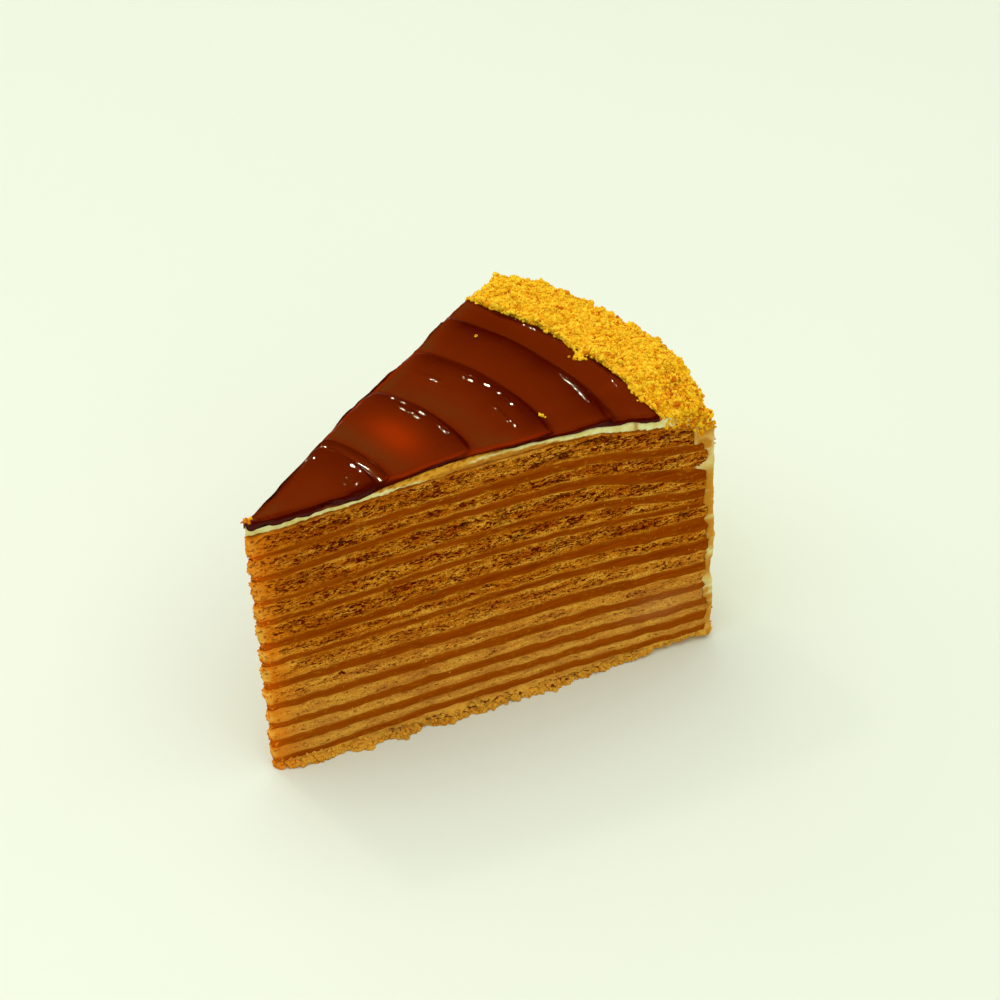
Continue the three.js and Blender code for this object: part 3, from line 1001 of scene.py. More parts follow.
@dataclass
class BottomBiscuit(Biscuit):
    """The biscuit that the slice stands on: its edge has crumbled and spread."""

    CRUMBLE = 0.75
    LOBES = 1.3

    def carve(self, points: np.ndarray, below: np.ndarray, above: np.ndarray) -> tuple[np.ndarray, Marks]:
        """The relief of the cut sides, as in CutLayer, with a ragged foot."""
        relief, marks = super().carve(points, below, above)
        spots = points / MM
        foot = smooth_step(3.6, 1.6, below)
        edge = smooth_step(1.8, 0.2, below)
        ragged = Noise(61).fractal(spots, 2.0, 3)
        lobes = Noise(67).fractal(spots * (1.0, 1.0, 0.0), 6.5, 3)
        # the golden crust colour is held back from the hollows of the ragged foot: painted shade there
        marks["crust"] = foot * np.clip(0.6 + 0.9 * ragged, 0.0, 1.0)
        marks["soak"] = marks["soak"] * (1.0 - foot)
        marks["open"] = marks["open"] + 0.5 * foot
        return relief + self.CRUMBLE * foot * ragged + self.LOBES * edge * lobes, marks


@dataclass
class CreamLayer(CutLayer):
    """A layer of caramel cream: smooth, with a few crumbs dragged over it."""

    SWELL = 0.1
    RECESS = 0.35
    GLOW_REACH = 5.0

    def carve(self, points: np.ndarray, below: np.ndarray, above: np.ndarray) -> tuple[np.ndarray, Marks]:
        """The relief of the cut sides, as in CutLayer."""
        spots = points / MM
        noise = Noise(57)
        edge = np.minimum(below, above)
        streaks = noise(spots, (4.0, 4.0, 0.6))
        crumbs = smooth_step(0.45, 0.6, noise(spots + 8.0, (0.9, 0.9, 0.5)) + 0.3 * noise(spots, 6.0))
        smear = 0.3 * np.exp(-edge / 0.25) + 0.6 * crumbs
        relief = self.SWELL * smooth_step(0.0, 0.8, edge) * (0.4 + streaks) + 0.12 * crumbs
        relief -= self.RECESS * bell(Places.of(points).radius, 2.0, 3.0)
        return relief, {"smear": np.clip(smear, 0.0, 1.0)}


class Stack:
    """The biscuits and the caramel cream between them."""

    def build(self) -> list[bpy.types.Object]:
        """Makes and dresses all the layers, and gives them back."""
        cream = CaramelCream().material()
        pieces = []
        for n, node in enumerate(BISCUITS):
            openness = 0.25 + 0.75 * float(smooth_step(2.0, 7.5, np.array(n)))
            kind = BottomBiscuit if n == 0 else Biscuit
            layer = kind(node, cuts=19, step=6.2, overlap=0.0, openness=openness, seed=n)
            pieces.append(layer.build())
            hand_over(pieces[-1], Slot.BISCUIT, BAKED_BISCUIT, node)
        for node in CREAMS:
            pieces.append(CreamLayer(node, cuts=9, step=6.2, overlap=0.12).build())
            hand_over(pieces[-1], Slot.CARAMEL_CREAM, cream, node)
        return pieces


# ---- The coat and what lies on it ----


# Heights at which the knife dragged the cream of the wall inwards, and how far.
SMEARS = ((54.8, 3.2), (18.8, 1.6), (6.6, 1.2), (38.0, 0.8))
# Cream along the cut is clean between these heights above the stack, for radii from the point outwards.
CLEAN_FROM = ((0, 0.3), (36, 0.25), (45, 0.5), (52, 1.2), (64, 1.9), (70, 1.5), (77, 1.0), (86, 0.3),
              (90, 0.0), (118, 0.0))
CLEAN_TO = ((31, 9.0), (33.5, 1.3), (43, 1.0), (47, 0.4), (54, 0.9), (60, 2.1), (66, 2.5), (70, 9.0))


@dataclass
class Coat:
    """White cream on the top and the outside wall.

    Attributes:
        cell: size of its faces, in millimetres.
        relief: height of the marks that the spatula left on the wall, in millimetres.
    """

    cell: float = 0.51
    relief: float = 0.35

    def build(self) -> bpy.types.Object:
        """Makes and dresses the coat."""
        obj = merged_copy("cream_coat", "spread_cream")
        remesh(obj, self.cell)
        mesh = obj.data
        noise = Noise(23)
        points, normals = points_of(mesh), normals_of(mesh)
        places = Places.of(points)
        spots = points / MM
        beside_cut = bell(places.from_cut(), 0.0, 1.5)
        wall = smooth_step(RIM_START, RIM_START + 3, places.radius)
        swell = self.relief * wall * noise.fractal(spots, 7.0, 4)
        swell += 0.12 * beside_cut * noise.fractal(spots, 1.2, 2)
        swell += beside_cut * KNIFE_CUT.outward(points) * (np.abs(normals[:, 2]) < 0.5)
        points += normals * swell[:, None] * MM
        points[:, 2] += beside_cut * KNIFE_CUT.upward(points) * MM
        self.smear(points, normals, places)
        move_points(mesh, points)
        above = self.above_stack(points)
        speckle = noise(spots + 4.0, (1.4, 1.4, 0.6))
        wavy = above + 0.3 * noise(spots, (2.2, 2.2, 1.0)) + 0.15 * speckle
        low = np.interp(places.radius, *zip(*CLEAN_FROM))
        high = np.interp(places.radius, *zip(*CLEAN_TO))
        ledge = smooth_step(32.0, 35.0, places.radius) * smooth_step(70.0, 64.0, places.radius)
        soak = smooth_step(0.0, 0.3, wavy - high)
        under = smooth_step(0.15, -0.15, wavy - low) * (above > 0.0)
        shoulder = smooth_step(109.0, 112.0, places.radius) * smooth_step(58.0, 66.0, places.height)
        soak = np.maximum(soak, shoulder * smooth_step(-0.9, -0.1, noise.fractal(spots, 3.0, 3)))
        soak = np.maximum(soak, wall * smooth_step(-0.4, 0.8, noise.fractal(spots, 12.0, 2)) * 0.35)
        drawn = np.max([bell(places.height, height, 1.8) for height, _ in SMEARS[:2]], axis=0)
        dragged = beside_cut * (1.0 - 0.85 * drawn) * smooth_step(115.0, 117.0, places.radius)
        dragged *= smooth_step(-0.9, 0.0, noise.fractal(spots, (5.0, 5.0, 3.0), 3))
        soak = np.maximum(soak, dragged)
        soak = np.maximum(soak, wall * smooth_step(14.0, 4.0, places.height))
        stain = smooth_step(0.1, 0.4, speckle) * ledge * soak
        flecks = 0.75 + 0.45 * noise(spots + 15.0, (1.3, 1.3, 0.5))
        stain = np.maximum(stain, under * flecks) * (1.0 - wall)
        stain = np.maximum(stain, 0.6 * dragged * smooth_step(122.0, 119.5, places.radius + 0.6 * speckle))
        stain = np.maximum(stain, 0.8 * bell(places.radius, 100.0, 0.5) * beside_cut * (places.angle < 0))
        write_attribute(mesh, "soak", np.clip(np.maximum(soak, under), 0.0, 1.0))
        write_attribute(mesh, "stain", np.clip(stain, 0.0, 1.0))
        hand_over(obj, Slot.CREAM, WhiteCream().material(), "cream_coat")
        return obj

    @staticmethod
    def smear(points: np.ndarray, normals: np.ndarray, places: Places) -> None:
        """Draws the cream of the wall unevenly over the ends of the layers, where the knife dragged it.

        Args:
            points: vertices of the coat, which are moved.
            normals: their normals.
            places: their places in the slice.
        """
        inwards = -outwards_of(places, normals)
        at_end = (places.radius > RIM_START - 3) * bell(places.from_cut(), 0.0, 1.0)
        inner = smooth_step(0.1, 0.7, inwards) * at_end
        drawn = 0.15 + 0.5 * Noise(29).fractal(points / MM, (6.0, 6.0, 3.6), 3)
        for height, reach in SMEARS:
            drawn = drawn + reach * bell(places.height, height, 1.1)
        toward = np.column_stack((-np.cos(places.angle), -np.sin(places.angle), np.zeros(len(points))))
        points += toward * (inner * np.clip(drawn, -0.2, 4.0))[:, None] * MM
        side = bell(places.from_cut(), 0.0, 0.5) * (places.radius > RIM_START - 3)
        outward = outward_of_cut(places)
        points += outward * (side * 0.22)[:, None] * MM

    @staticmethod
    def above_stack(points: np.ndarray) -> np.ndarray:
        """Height of each point above the top biscuit, in millimetres, or 0 beside it."""
        tree = tree_of(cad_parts["biscuit_12"].data)
        heights = np.zeros(len(points))
        inset = 0.8 * MM  # a ray falls this much nearer the middle line, to meet the biscuit beside the cut
        for n, (x, y, z) in enumerate(points):
            inner = 1.0 - inset / max(abs(y), inset)
            heights[n] = height_above(tree, (x, y * inner, z), otherwise=0.0)
        return heights


def tree_of(mesh: bpy.types.Mesh) -> BVHTree:
    """A tree for casting rays at a mesh."""
    return BVHTree.FromPolygons([v.co for v in mesh.vertices], [tuple(p.vertices) for p in mesh.polygons])


def height_above(tree: BVHTree, point: tuple[float, float, float], otherwise: float) -> float:
    """How high a point is above a mesh.

    Args:
        tree: the mesh's tree.
        point: the point, in metres.
        otherwise: what to give back where the mesh isn't below the point, or is too far below it.

    Returns:
        The height in millimetres.
    """
    x, y, z = point
    hit = tree.ray_cast(Vector((x, y, z + MM)), DOWN, RAY_LENGTH)[0]
    return (z - hit.z) / MM if hit else otherwise


@dataclass(frozen=True)
class Fold:
    """A short wrinkle in the glaze along an arc: its radius and height in millimetres, its ends in degrees
    from the first cut."""

    radius: float
    start: float
    end: float
    height: float = 0.3


# How far the glaze hangs over the cut, for radii from the point outwards.
HANGING = ((0, 1.0), (6, 1.2), (16, 0.95), (31, 0.75), (33, 0.9), (34.2, 0.1), (41, 0.1), (47, -0.3),
           (62, -0.3), (68, 0.0), (86, 0.0), (92, 0.3), (101, 0.4), (105, 1.0), (108, 1.0))
FOLDS = (
    Fold(54.6, 17.5, 25.5, 0.42),
    Fold(56.0, 7.0, 31.0, 0.16),
    Fold(69.6, 25.5, 32.5, 0.4),
    Fold(71.8, 4.0, 12.0, 0.55),
    Fold(74.2, 20.5, 23.0, 0.35),
    Fold(75.6, 6.0, 30.0, 0.14),
    Fold(91.6, 3.0, 12.0, 0.34),
    Fold(7.5, 3.0, 20.0, 0.3),
    Fold(11.0, 8.0, 17.0, 0.12),
    Fold(28.4, 6.5, 11.5, 0.35),
    Fold(52.0, 4.5, 6.5, 0.3),
    Fold(30.6, 3.0, 5.0, 0.3),
    Fold(33.0, 9.0, 17.0, 0.14),
    Fold(35.5, 11.0, 21.0, 0.14),
    Fold(100.8, 5.5, 8.5, 0.35),
    Fold(104.8, 1.0, 4.5, 0.5),
    Fold(100.6, 19.0, 30.0, 0.2),
)
RIDGE_SHADE_RADII = (33.6, 57.4, 77.7, 92.5)  # radii of the ridges between two sweeps, where a thin dark line is painted as painted shade of the step
# Radius at which the glaze ends, for angles from the first cut.
GLAZE_END = ((0, 106.8), (3, 105.6), (9, 103.0), (24, 102.0), (30, 100.9), (34, 102.0), (36.4, 103.4))


def outer_end(places: Places) -> np.ndarray:
    """The radius at which the glaze ends, in the direction of each place."""
    return np.interp(places.across(), *zip(*GLAZE_END))


@dataclass
class Glaze:
    """Poured caramel, spread outwards from the point in sweeps of a palette knife.

    Attributes:
        levels: how often its faces are halved.
        fold_width: half the width of a wrinkle, in millimetres.
        bead: height of the small bubbles in it, in millimetres.
        lip: height of the roll along its outer end, in millimetres.
        ripple: height of the faint grooves along the sweeps, in millimetres.
        full_depth: the thickness that looks black, in millimetres.
    """

    levels: int = 3
    fold_width: float = 0.42
    bead: float = 0.16
    lip: float = 0.3
    ripple: float = 0.035
    full_depth: float = 3.2

    DEPTH_BESIDE = 0.8  # share of the full depth where there is no cream below

    def build(self) -> bpy.types.Object:
        """Makes and dresses the glaze."""
        obj = merged_copy("caramel_glaze", "poured_glaze")
        self.round_off(obj)
        self.refine_folds(obj)
        mesh = obj.data
        points, normals = points_of(mesh), normals_of(mesh)
        places = Places.of(points)
        top = smooth_step(0.2, 0.8, normals[:, 2])
        points[:, 2] += top * (self.wrinkles(points, places) + self.grooves(points, places)) * MM
        beside_cut = bell(places.from_cut(), 0.0, 1.2)
        self.hang(points, normals, places)
        points[:, 2] += beside_cut * KNIFE_CUT.upward(points) * MM
        move_points(mesh, points)
        lip = smooth_step(-2.6, -0.4, places.radius - outer_end(places))
        # dark lines painted just outside each ridge crest: painted shade of the step
        lines = sum(bell(places.radius, ridge + 0.3, 0.6) for ridge in RIDGE_SHADE_RADII)
        outer = smooth_step(58.0, 88.0, places.radius)
        darker = np.max([beside_cut, 1.6 * lip, 0.9 * lines, 0.4 * outer], axis=0)
        write_attribute(mesh, "depth", self.depths(points, darker))
        # a red spot, and a line along the cut, painted brighter: painted glow of light coming through the
        # caramel
        glow = bell(places.radius, 46.5, 4.2) * bell(places.across(), 17.0, 10.0)
        clear = smooth_step(34.0, 37.0, places.radius) * smooth_step(82.0, 74.0, places.radius)
        glow = np.maximum(glow, 0.6 * clear * bell(places.from_cut(), 0.5, 0.5))
        write_attribute(mesh, "glow", 0.6 * glow * top)
        hand_over(obj, Slot.GLAZE, PouredCaramel().material(), "caramel_glaze")
        return obj

    def round_off(self, obj: bpy.types.Object) -> None:
        """Rounds the glaze's top and edges, and keeps the edge of its underside sharp."""
        mesh = obj.data
        _, normals = faces_of(mesh)
        under = normals[:, 2] < -0.7
        select_faces(obj, under)
        bpy.ops.mesh.region_to_loop()
        bpy.ops.object.mode_set(mode="OBJECT")
        edges = np.empty(len(mesh.edges), bool)
        mesh.edges.foreach_get("select", edges)
        crease = mesh.attributes.new("crease_edge", "FLOAT", "EDGE")
        crease.data.foreach_set("value", edges.astype(np.float32))
        activate(obj)
        modifier = obj.modifiers.new("rounding", "SUBSURF")
        modifier.levels = modifier.render_levels = self.levels
        bpy.ops.object.modifier_apply(modifier=modifier.name)

    def hang(self, points: np.ndarray, normals: np.ndarray, places: Places) -> None:
        """Lets the lower edge of the glaze run down over the cut sides.

        Args:
            points: its vertices, which are moved.
            normals: their normals.
            places: their places in the slice.
        """
        side = bell(places.from_cut(), 0.0, 0.35) * smooth_step(0.5, -0.2, normals[:, 2])
        ragged = Noise(41).fractal(points / MM, 3.0, 3)
        lower = side * smooth_step(0.3, -0.4, normals[:, 2])
        drop = np.interp(places.radius, *zip(*HANGING)) * (1.0 + 0.35 * ragged) + 0.12 * ragged
        points[:, 2] -= lower * drop * MM
        outward = outward_of_cut(places)
        swell = side * (KNIFE_CUT.outward(points) + 0.22 + 0.1 * ragged)
        points += outward * swell[:, None] * MM

    @staticmethod
    def refine_folds(obj: bpy.types.Object) -> None:
        """Divides the faces of the top round each wrinkle once more."""
        middles, normals = faces_of(obj.data)
        places = Places.of(middles)
        across = places.across()
        near = np.zeros(len(middles), bool)
        for fold in FOLDS:
            along = (across > fold.start - 1.2) & (across < fold.end + 1.2)
            near |= along & (np.abs(places.radius - fold.radius) < 1.2)
        select_faces(obj, near & (normals[:, 2] > 0.3))
        bpy.ops.mesh.subdivide(number_cuts=2, smoothness=0.0)
        bpy.ops.object.mode_set(mode="OBJECT")

    def wrinkles(self, points: np.ndarray, places: Places) -> np.ndarray:
        """Height of the short wrinkles, in millimetres."""
        noise = Noise(43)
        across = places.across()
        spots = points / MM
        wavy = places.radius + 0.35 * noise(spots, 2.6)
        broken = 0.65 + 0.6 * noise(spots + 6.0, 1.1)
        height = np.zeros(len(points))
        for fold in FOLDS:
            ends = smooth_step(fold.start - 0.8, fold.start + 0.8, across)
            ends *= smooth_step(fold.end + 0.8, fold.end - 0.8, across)
            height += fold.height * ends * bell(wavy, fold.radius, self.fold_width) * broken
        uneven = np.clip(0.6 + 0.7 * noise(spots + 12.0, 2.4), 0.0, 1.4)
        scattered = smooth_step(0.0, 0.4, noise(spots + 27.0, 5.0))
        height += self.bead * scattered * smooth_step(0.4, 0.65, noise(spots + 21.0, 0.8))
        return height + self.lip * uneven * bell(places.radius, outer_end(places) - 0.9, 0.8)

    def grooves(self, points: np.ndarray, places: Places) -> np.ndarray:
        """Height of the faint grooves that follow the sweeps, in millimetres."""
        noise = Noise(47)
        rings = np.column_stack((places.radius, 12.0 * places.angle, np.zeros(len(points))))
        return self.ripple * (noise(rings, (2.0, 3.0, 1.0)) + 0.5 * noise(rings, (0.8, 2.0, 1.0)))

    def depths(self, points: np.ndarray, edge: np.ndarray) -> np.ndarray:
        """Depth of caramel under each point, as a share of the full depth, and more along its edges and at
        painted shade lines along the ridges.
        """
        coat = tree_of(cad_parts["cream_coat"].data)
        depths = np.zeros(len(points))
        for n, point in enumerate(points):
            depths[n] = height_above(coat, tuple(point), otherwise=self.full_depth * self.DEPTH_BESIDE)
        return np.clip(depths / self.full_depth + 0.35 * edge, 0.0, 1.2)


# ---- Crumbs ----


@dataclass
class CrumbBed:
    """The crumbs pressed on the rim, as one rough mass.

    Attributes:
        cell: size of its faces, in millimetres.
        clump: height of its clumps, in millimetres.
    """

    cell: float = 0.45
    clump: float = 0.95

    def build(self) -> bpy.types.Object:
        """Makes and dresses the bed."""
        obj = merged_copy("crumb_band", "crumb_bed")
        remesh(obj, self.cell)
        mesh = obj.data
        noise = Noise(71)
        points, normals = points_of(mesh), normals_of(mesh)
        spots = points / MM
        clumps = noise.fractal(spots, 3.0, 4)
        places = Places.of(points)
        inwards = -outwards_of(places, normals)
        spread = 0.9 * smooth_step(0.2, 0.8, inwards)
        points += normals * (self.clump * clumps - 0.2 + spread)[:, None] * MM
        move_points(mesh, points)
        # tone varies at random, and rises in the hollows between clumps so they look darker: painted shade
        write_attribute(mesh, "tone", 0.3 + 0.3 * noise(spots + 7.0, 2.0) - 0.25 * clumps)
        hand_over(obj, Slot.CRUMBS, GOLDEN_CRUMB, "crumb_band")
        return obj


@dataclass
class Ground:
    """A surface that crumbs lie on.

    Attributes:
        piece: the piece whose surface it is.
        share: how many of the crumbs fall on it.
        density: crumbs for each area, from the places and normals of its faces.
    """

    piece: bpy.types.Object
    share: float
    density: Callable[[Places, np.ndarray], np.ndarray]

    def triangles(self) -> np.ndarray:
        """The corners of its triangles in metres, as rows of three points."""
        mesh = self.piece.data
        mesh.calc_loop_triangles()
        corners = np.empty(3 * len(mesh.loop_triangles), np.int32)
        mesh.loop_triangles.foreach_get("vertices", corners)
        return points_of(mesh)[corners].reshape(-1, 3, 3)


@dataclass
class Crumbs:
    """Many small crumbs of one kind, as one mesh.

    Attributes:
        name: name of the piece.
        count: how many crumbs.
        smallest: their least size, in millimetres.
        largest: their greatest size, in millimetres.
        detail: how often the ball that a crumb is made from is divided.
        seed: number that their places follow from.
    """

    name: str
    count: int
    smallest: float
    largest: float
    detail: int
    seed: int

    KINDS = 6

    def prototypes(self) -> list[tuple[np.ndarray, np.ndarray]]:
        """Models a few ragged crumbs of radius 1, as vertices and triangles."""
        models = []
        for n in range(self.KINDS):
            bpy.ops.object.select_all(action="DESELECT")
            bpy.ops.mesh.primitive_ico_sphere_add(subdivisions=self.detail, radius=1.0)
            ball = bpy.context.active_object
            points = points_of(ball.data)
            points *= 1.0 + 0.42 * Noise(200 + 10 * self.seed + n).fractal(points, 0.9, 2)[:, None]
            triangles = np.array([tuple(p.vertices) for p in ball.data.polygons])
            models.append((points, triangles))
            bpy.data.objects.remove(ball)
        return models

    def landing(self, rng: np.random.Generator, grounds: list[Ground]) -> tuple[np.ndarray, np.ndarray]:
        """Draws where crumbs land.

        Args:
            rng: source of the draws.
            grounds: the surfaces that they land on.

        Returns:
            Points in metres, and the directions in which the surface looks there.
        """
        spots, looks = [], []
        for ground in grounds:
            corners = ground.triangles()
            cross = np.cross(corners[:, 1] - corners[:, 0], corners[:, 2] - corners[:, 0])
            area = np.linalg.norm(cross, axis=1)
            normals = cross / np.maximum(area, 1e-15)[:, None]
            weight = area * np.clip(ground.density(Places.of(corners.mean(axis=1)), normals), 0.0, None)
            drawn = rng.choice(len(area), round(self.count * ground.share), p=weight / weight.sum())
            a, b = rng.random((2, len(drawn)))
            flip = a + b > 1
            a, b = np.where(flip, 1 - a, a), np.where(flip, 1 - b, b)
            sides = corners[drawn]
            first, second = sides[:, 1] - sides[:, 0], sides[:, 2] - sides[:, 0]
            spots.append(sides[:, 0] + a[:, None] * first + b[:, None] * second)
            looks.append(normals[drawn])
        return np.concatenate(spots), np.concatenate(looks)

    def fall_on(self, grounds: list[Ground], lift: float) -> bpy.types.Object:
        """Makes the crumbs where they land.

        Args:
            grounds: the surfaces that they land on.
            lift: how high they may lie above them, in millimetres.

        Returns:
            One object with all the crumbs.
        """
        rng = np.random.default_rng(self.seed)
        spots, looks = self.landing(rng, grounds)
        return self.scatter(spots, looks, rng, lift)

    def scatter(
        self, spots: np.ndarray, looks: np.ndarray, rng: np.random.Generator, lift: float
    ) -> bpy.types.Object:
        """Puts a crumb at each spot.

        Args:
            spots: where they lie, in metres.
            looks: directions in which the surface looks.
            rng: source of the draws.
            lift: how high they may lie above the surface, in millimetres.

        Returns:
            One object with all the crumbs, and a tone for each.
        """
        models = self.prototypes()
        kinds = rng.integers(self.KINDS, size=len(spots))
        sizes = self.smallest + (self.largest - self.smallest) * rng.random(len(spots)) ** 2
        quaternions = rng.normal(size=(len(spots), 4))
        stretch = rng.uniform(0.7, 1.25, size=(len(spots), 3))
        raised = rng.uniform(-0.1, 1.0, len(spots)) * lift
        tones = rng.beta(2.0, 3.2, len(spots))
        vertices, triangles, tone, start = [], [], [], 0
        for spot, look, kind, size, quaternion, shape, rise, value in zip(
            spots, looks, kinds, sizes, quaternions, stretch, raised, tones
        ):
            points, faces = models[kind]
            turn = turn_of(quaternion)
            placed = (points * shape) @ turn.T * (size / 2 * MM) + spot + look * rise * MM
            vertices.append(placed)
            triangles.append(faces + start)
            tone.append(np.full(len(points), value))
            start += len(points)
        mesh = bpy.data.meshes.new(self.name)
        points = np.concatenate(vertices)
        points[:, 2] = np.maximum(points[:, 2], 0.0)
        fill_mesh(mesh, points, np.concatenate(triangles))
        places = Places.of(points)
        toasted = 0.17 * bell(places.across(), 1.0, 4.0) * (places.radius > 80)
        # crumbs at the point are pushed towards orange: painted glow of light coming through the point
        toasted += 0.5 * bell(places.radius, 0.0, 6.0)
        write_attribute(mesh, "tone", np.concatenate(tone) + toasted)
        # thin: painted glow of light coming through the point, read by the biscuit finish
        write_attribute(mesh, "thin", bell(places.radius, 0.0, CutLayer.GLOW_REACH))
        obj = bpy.data.objects.new(self.name, mesh)
        bpy.context.scene.collection.objects.link(obj)
        return obj


def turn_of(quaternion: np.ndarray) -> np.ndarray:
    """The turn that a quaternion of any length stands for, as a 3 by 3 matrix."""
    w, x, y, z = quaternion / np.linalg.norm(quaternion)
    return np.array(
        [
            [1 - 2 * (y * y + z * z), 2 * (x * y - w * z), 2 * (x * z + w * y)],
            [2 * (x * y + w * z), 1 - 2 * (x * x + z * z), 2 * (y * z - w * x)],
            [2 * (x * z - w * y), 2 * (y * z + w * x), 1 - 2 * (x * x + y * y)],
        ]
    )


def fill_mesh(mesh: bpy.types.Mesh, vertices: np.ndarray, triangles: np.ndarray) -> None:
    """Fills an empty mesh with vertices and triangles."""
    mesh.vertices.add(len(vertices))
    mesh.vertices.foreach_set("co", vertices.ravel())
    mesh.loops.add(triangles.size)
    mesh.loops.foreach_set("vertex_index", triangles.ravel().astype(np.int32))
    mesh.polygons.add(len(triangles))
    mesh.polygons.foreach_set("loop_start", np.arange(0, triangles.size, 3, dtype=np.int32))
    mesh.update(calc_edges=True)
    mesh.validate()


def on_band(places: Places, normals: np.ndarray) -> np.ndarray:
    """Crumbs on every side of the band but its underside, with bald spots where the cream shows."""
    unrolled = np.column_stack((places.radius, 100 * places.angle, np.zeros(len(normals))))
    thick = 0.6 + 0.5 * smooth_step(-0.3, 0.3, Noise(83)(unrolled, 3.0))
    return (normals[:, 2] > -0.3) * thick


def on_wall(places: Places, normals: np.ndarray) -> np.ndarray:
    """Crumbs on the outside wall: many below the shoulder and at the foot, and few between."""
    low = smooth_step(13.0, 2.0, places.height)
    high = smooth_step(52.0, 68.0, places.height)
    return (outwards_of(places, normals) > 0.6) * (places.radius > RIM_START) * (0.03 + 0.8 * low + high)


def on_shoulder(places: Places, normals: np.ndarray) -> np.ndarray:
    """Crumbs that have slid from the band over the edge of the cuts."""
    edge = bell(places.from_cut(), 0.0, 1.2)
    return edge * smooth_step(107.0, 113.0, places.radius) * smooth_step(64.0, 70.0, places.height)


def on_point(places: Places, normals: np.ndarray) -> np.ndarray:
    """Crumbs on the cut sides: most round the point."""
    level = np.abs(normals[:, 2]) < LEVEL
    return level * (outwards_of(places, normals) < 0.5) * (0.004 + 1.0 * bell(places.radius, 2.0, 2.5))


def on_foot(places: Places, normals: np.ndarray) -> np.ndarray:
    """Crumbs along the foot of the cut sides."""
    on_cut = (outwards_of(places, normals) < 0.5) * (normals[:, 2] > -0.5)
    return on_cut * smooth_step(2.2, 0.3, places.height)


def build_crumbs(bed: bpy.types.Object, coat: bpy.types.Object) -> None:
    """Scatters the crumbs over the band, the shoulder and the wall, and dresses them."""
    coarse = Crumbs("coarse_crumbs", 1900, 0.7, 1.5, 2, 1)
    fine = Crumbs("fine_crumbs", 9600, 0.35, 0.8, 1, 2)
    grounds = [Ground(bed, 0.78, on_band), Ground(coat, 0.14, on_wall), Ground(coat, 0.08, on_shoulder)]
    for kind, lift in ((coarse, 0.3), (fine, 0.4)):
        hand_over(kind.fall_on(grounds, lift), Slot.CRUMBS, GOLDEN_CRUMB)


@dataclass(frozen=True)
class Stray:
    """A crumb or a few that fell apart from the rest: radius in millimetres, angle in degrees from the first
    cut, how far they spread in millimetres, and how many."""

    radius: float
    angle: float
    spread: float
    count: int


STRAYS = (
    Stray(79.0, 4.7, 0.5, 6),
    Stray(88.5, 29.0, 0.5, 3),
    Stray(100.2, 14.5, 1.8, 46),
    Stray(105.4, 3.0, 1.0, 10),
    Stray(101.4, 22.0, 0.8, 8),
    Stray(2.6, 18.2, 1.3, 16),
)
GLAZE_START = 3.6  # radius at which the glaze begins, at the point of the slice


def build_strays(glaze: bpy.types.Object) -> None:
    """Drops a few crumbs on the glaze."""
    kind = Crumbs("stray_crumbs", 0, 0.5, 1.1, 2, 3)
    rng = np.random.default_rng(kind.seed)
    tree = tree_of(glaze.data)
    spots = []
    for stray in STRAYS:
        for _ in range(stray.count):
            radius = stray.radius + stray.spread * rng.normal() * 0.5
            angle = math.radians(stray.angle) - HALF_ANGLE + stray.spread * rng.normal() * 0.5 / stray.radius
            start = point_at(max(radius, GLAZE_START), angle, 100.0)
            hit = tree.ray_cast(start, DOWN)[0]
            if hit:
                spots.append(point_at(radius, angle, hit.z / MM + 0.25))
    looks = np.tile((0.0, 0.0, 1.0), (len(spots), 1))
    hand_over(kind.scatter(np.array(spots), looks, rng, 0.2), Slot.CRUMBS, GOLDEN_CRUMB)


def build_cut_crumbs(layers: list[bpy.types.Object]) -> None:
    """Scatters biscuit crumbs along the point and the foot of the cut sides."""
    sides = [Ground(layer, 1.0 / len(layers), on_point) for layer in layers]
    point = Crumbs("point_crumbs", 420, 0.3, 0.7, 2, 4).fall_on(sides, 0.1)
    hand_over(point, Slot.BISCUIT, BAKED_BISCUIT)
    foot = Crumbs("foot_crumbs", 1900, 0.35, 1.3, 2, 5).fall_on([Ground(layers[0], 1.0, on_foot)], 0.15)
    crust = 0.6 + 0.7 * Noise(19)(points_of(foot.data) / MM, 1.4)
    write_attribute(foot.data, "crust", np.clip(crust, 0.0, 1.0))
    hand_over(foot, Slot.BISCUIT, BAKED_BISCUIT)


# ---- Studio ----


@dataclass(frozen=True)
class Softbox:
    """A square lamp that faces the slice.

    Attributes:
        name: its name.
        azimuth: where it stands, in degrees from +X towards +Y.
        elevation: how high it stands, in degrees above the floor.
        distance: how far away, in metres.
        size: length of its side, in metres.
        power: its power, in watts.
        tint: its colour.
        lights_matt: whether it lights matt surfaces.
        glossy: whether it shows as a highlight on glossy ones.
    """

    name: str
    azimuth: float
    elevation: float
    distance: float
    size: float
    power: float
    tint: str = "#ffffff"
    lights_matt: bool = True
    glossy: bool = False

    AIM_HEIGHT = 0.04  # metres above the floor, about half as high as the slice

    def build(self) -> None:
        """Puts up the lamp."""
        lamp = bpy.data.lights.new(self.name, "AREA")
        lamp.energy = self.power
        lamp.size = self.size
        lamp.color = linear(self.tint)[:3]
        obj = bpy.data.objects.new(self.name, lamp)
        obj.visible_diffuse = self.lights_matt
        obj.visible_glossy = self.glossy
        bpy.context.scene.collection.objects.link(obj)
        turn, rise = math.radians(self.azimuth), math.radians(self.elevation)
        away = Vector((math.cos(turn) * math.cos(rise), math.sin(turn) * math.cos(rise), math.sin(rise)))
        obj.location = away * self.distance + Vector((0.0, 0.0, self.AIM_HEIGHT))
        obj.rotation_euler = away.to_track_quat("Z", "Y").to_euler()


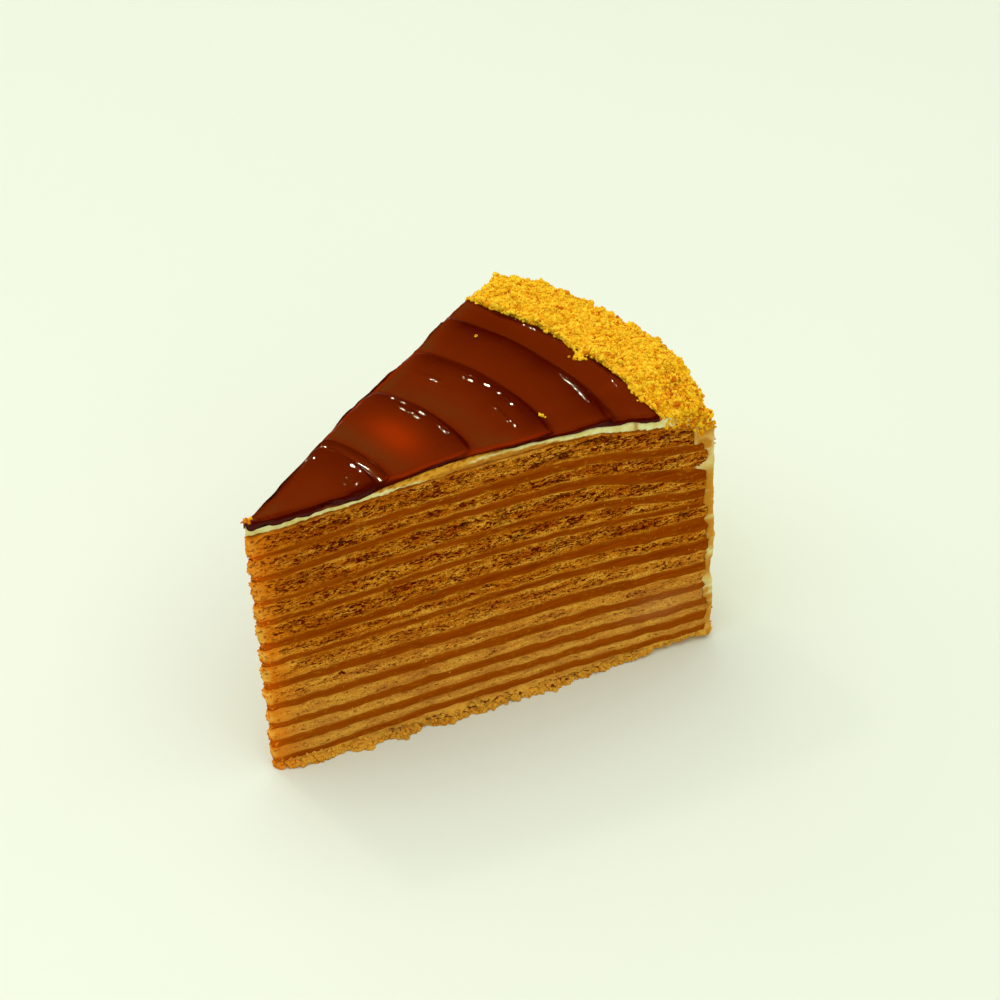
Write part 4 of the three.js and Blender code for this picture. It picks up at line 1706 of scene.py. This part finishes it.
@dataclass
class Studio:
    """A pale floor, soft lamps, and the faint light of a room."""

    table_size: float = 12.0
    room: str = "#b4b8a4"
    room_strength: float = 0.88

    def build(self) -> None:
        """Makes everything round the slice."""
        bpy.ops.object.select_all(action="DESELECT")
        bpy.ops.mesh.primitive_plane_add(size=self.table_size, location=(0.0, 0.0, -0.02 * MM))
        table = bpy.context.active_object
        table.name = "table"
        table.data.materials.append(PaleTable().material())
        world = bpy.data.worlds.new("room")
        world.use_nodes = True
        world.node_tree.nodes["Background"].inputs["Color"].default_value = linear(self.room)
        world.node_tree.nodes["Background"].inputs["Strength"].default_value = self.room_strength
        world.cycles_visibility.glossy = False
        bpy.context.scene.world = world
        Softbox("back_softbox", 110.0, 62.0, 1.6, 2.4, 11.6).build()
        Softbox("top_softbox", -60.0, 84.0, 1.6, 2.8, 21.0).build()
        Softbox("front_softbox", -115.0, 35.0, 1.6, 2.0, 5.8, "#eaf3ff").build()
        Softbox("spotlight", 93.0, 55.0, 1.6, 0.11, 64.0, "#fff0d2", lights_matt=False, glossy=True).build()
        bpy.context.scene.view_settings.view_transform = "Standard"


@dataclass(frozen=True)
class Camera:
    """The camera, from its place in metres and its angles in degrees."""

    place: tuple[float, float, float] = (-0.39465, -0.48337, 0.52559)
    heading: float = 49.594
    pitch: float = 37.319
    roll: float = -2.193
    focal_pixels: float = 3242.8
    frame_pixels: float = 1000.0
    sensor: float = 36.0

    def build(self) -> None:
        """Puts up the camera."""
        heading, pitch, roll = (math.radians(a) for a in (self.heading, self.pitch, self.roll))
        level = math.cos(pitch)
        forward = Vector((level * math.cos(heading), level * math.sin(heading), -math.sin(pitch)))
        right = Vector((math.sin(heading), -math.cos(heading), 0.0))
        up = right.cross(forward)
        turned_right = math.cos(roll) * right + math.sin(roll) * up
        turned_up = math.cos(roll) * up - math.sin(roll) * right
        lens = bpy.data.cameras.new("camera")
        lens.sensor_width = self.sensor
        lens.lens = self.sensor * self.focal_pixels / self.frame_pixels
        camera = bpy.data.objects.new("camera", lens)
        turn = Matrix((turned_right, turned_up, -forward)).transposed().to_4x4()
        camera.matrix_world = Matrix.Translation(self.place) @ turn
        bpy.context.scene.collection.objects.link(camera)
        bpy.context.scene.camera = camera


GOLDEN_CRUMB = GoldenCrumb().material()
BAKED_BISCUIT = BakedBiscuit().material()


def main() -> None:
    """Builds the slice's pieces and the studio, in order."""
    logging.basicConfig(level=logging.INFO, format="%(message)s")
    Camera().build()
    Studio().build()
    layers = Stack().build()
    coat = Coat().build()
    glaze = Glaze().build()
    bed = CrumbBed().build()
    build_crumbs(bed, coat)
    build_strays(glaze)
    build_cut_crumbs(layers)


if __name__ == "__main__":
    main()
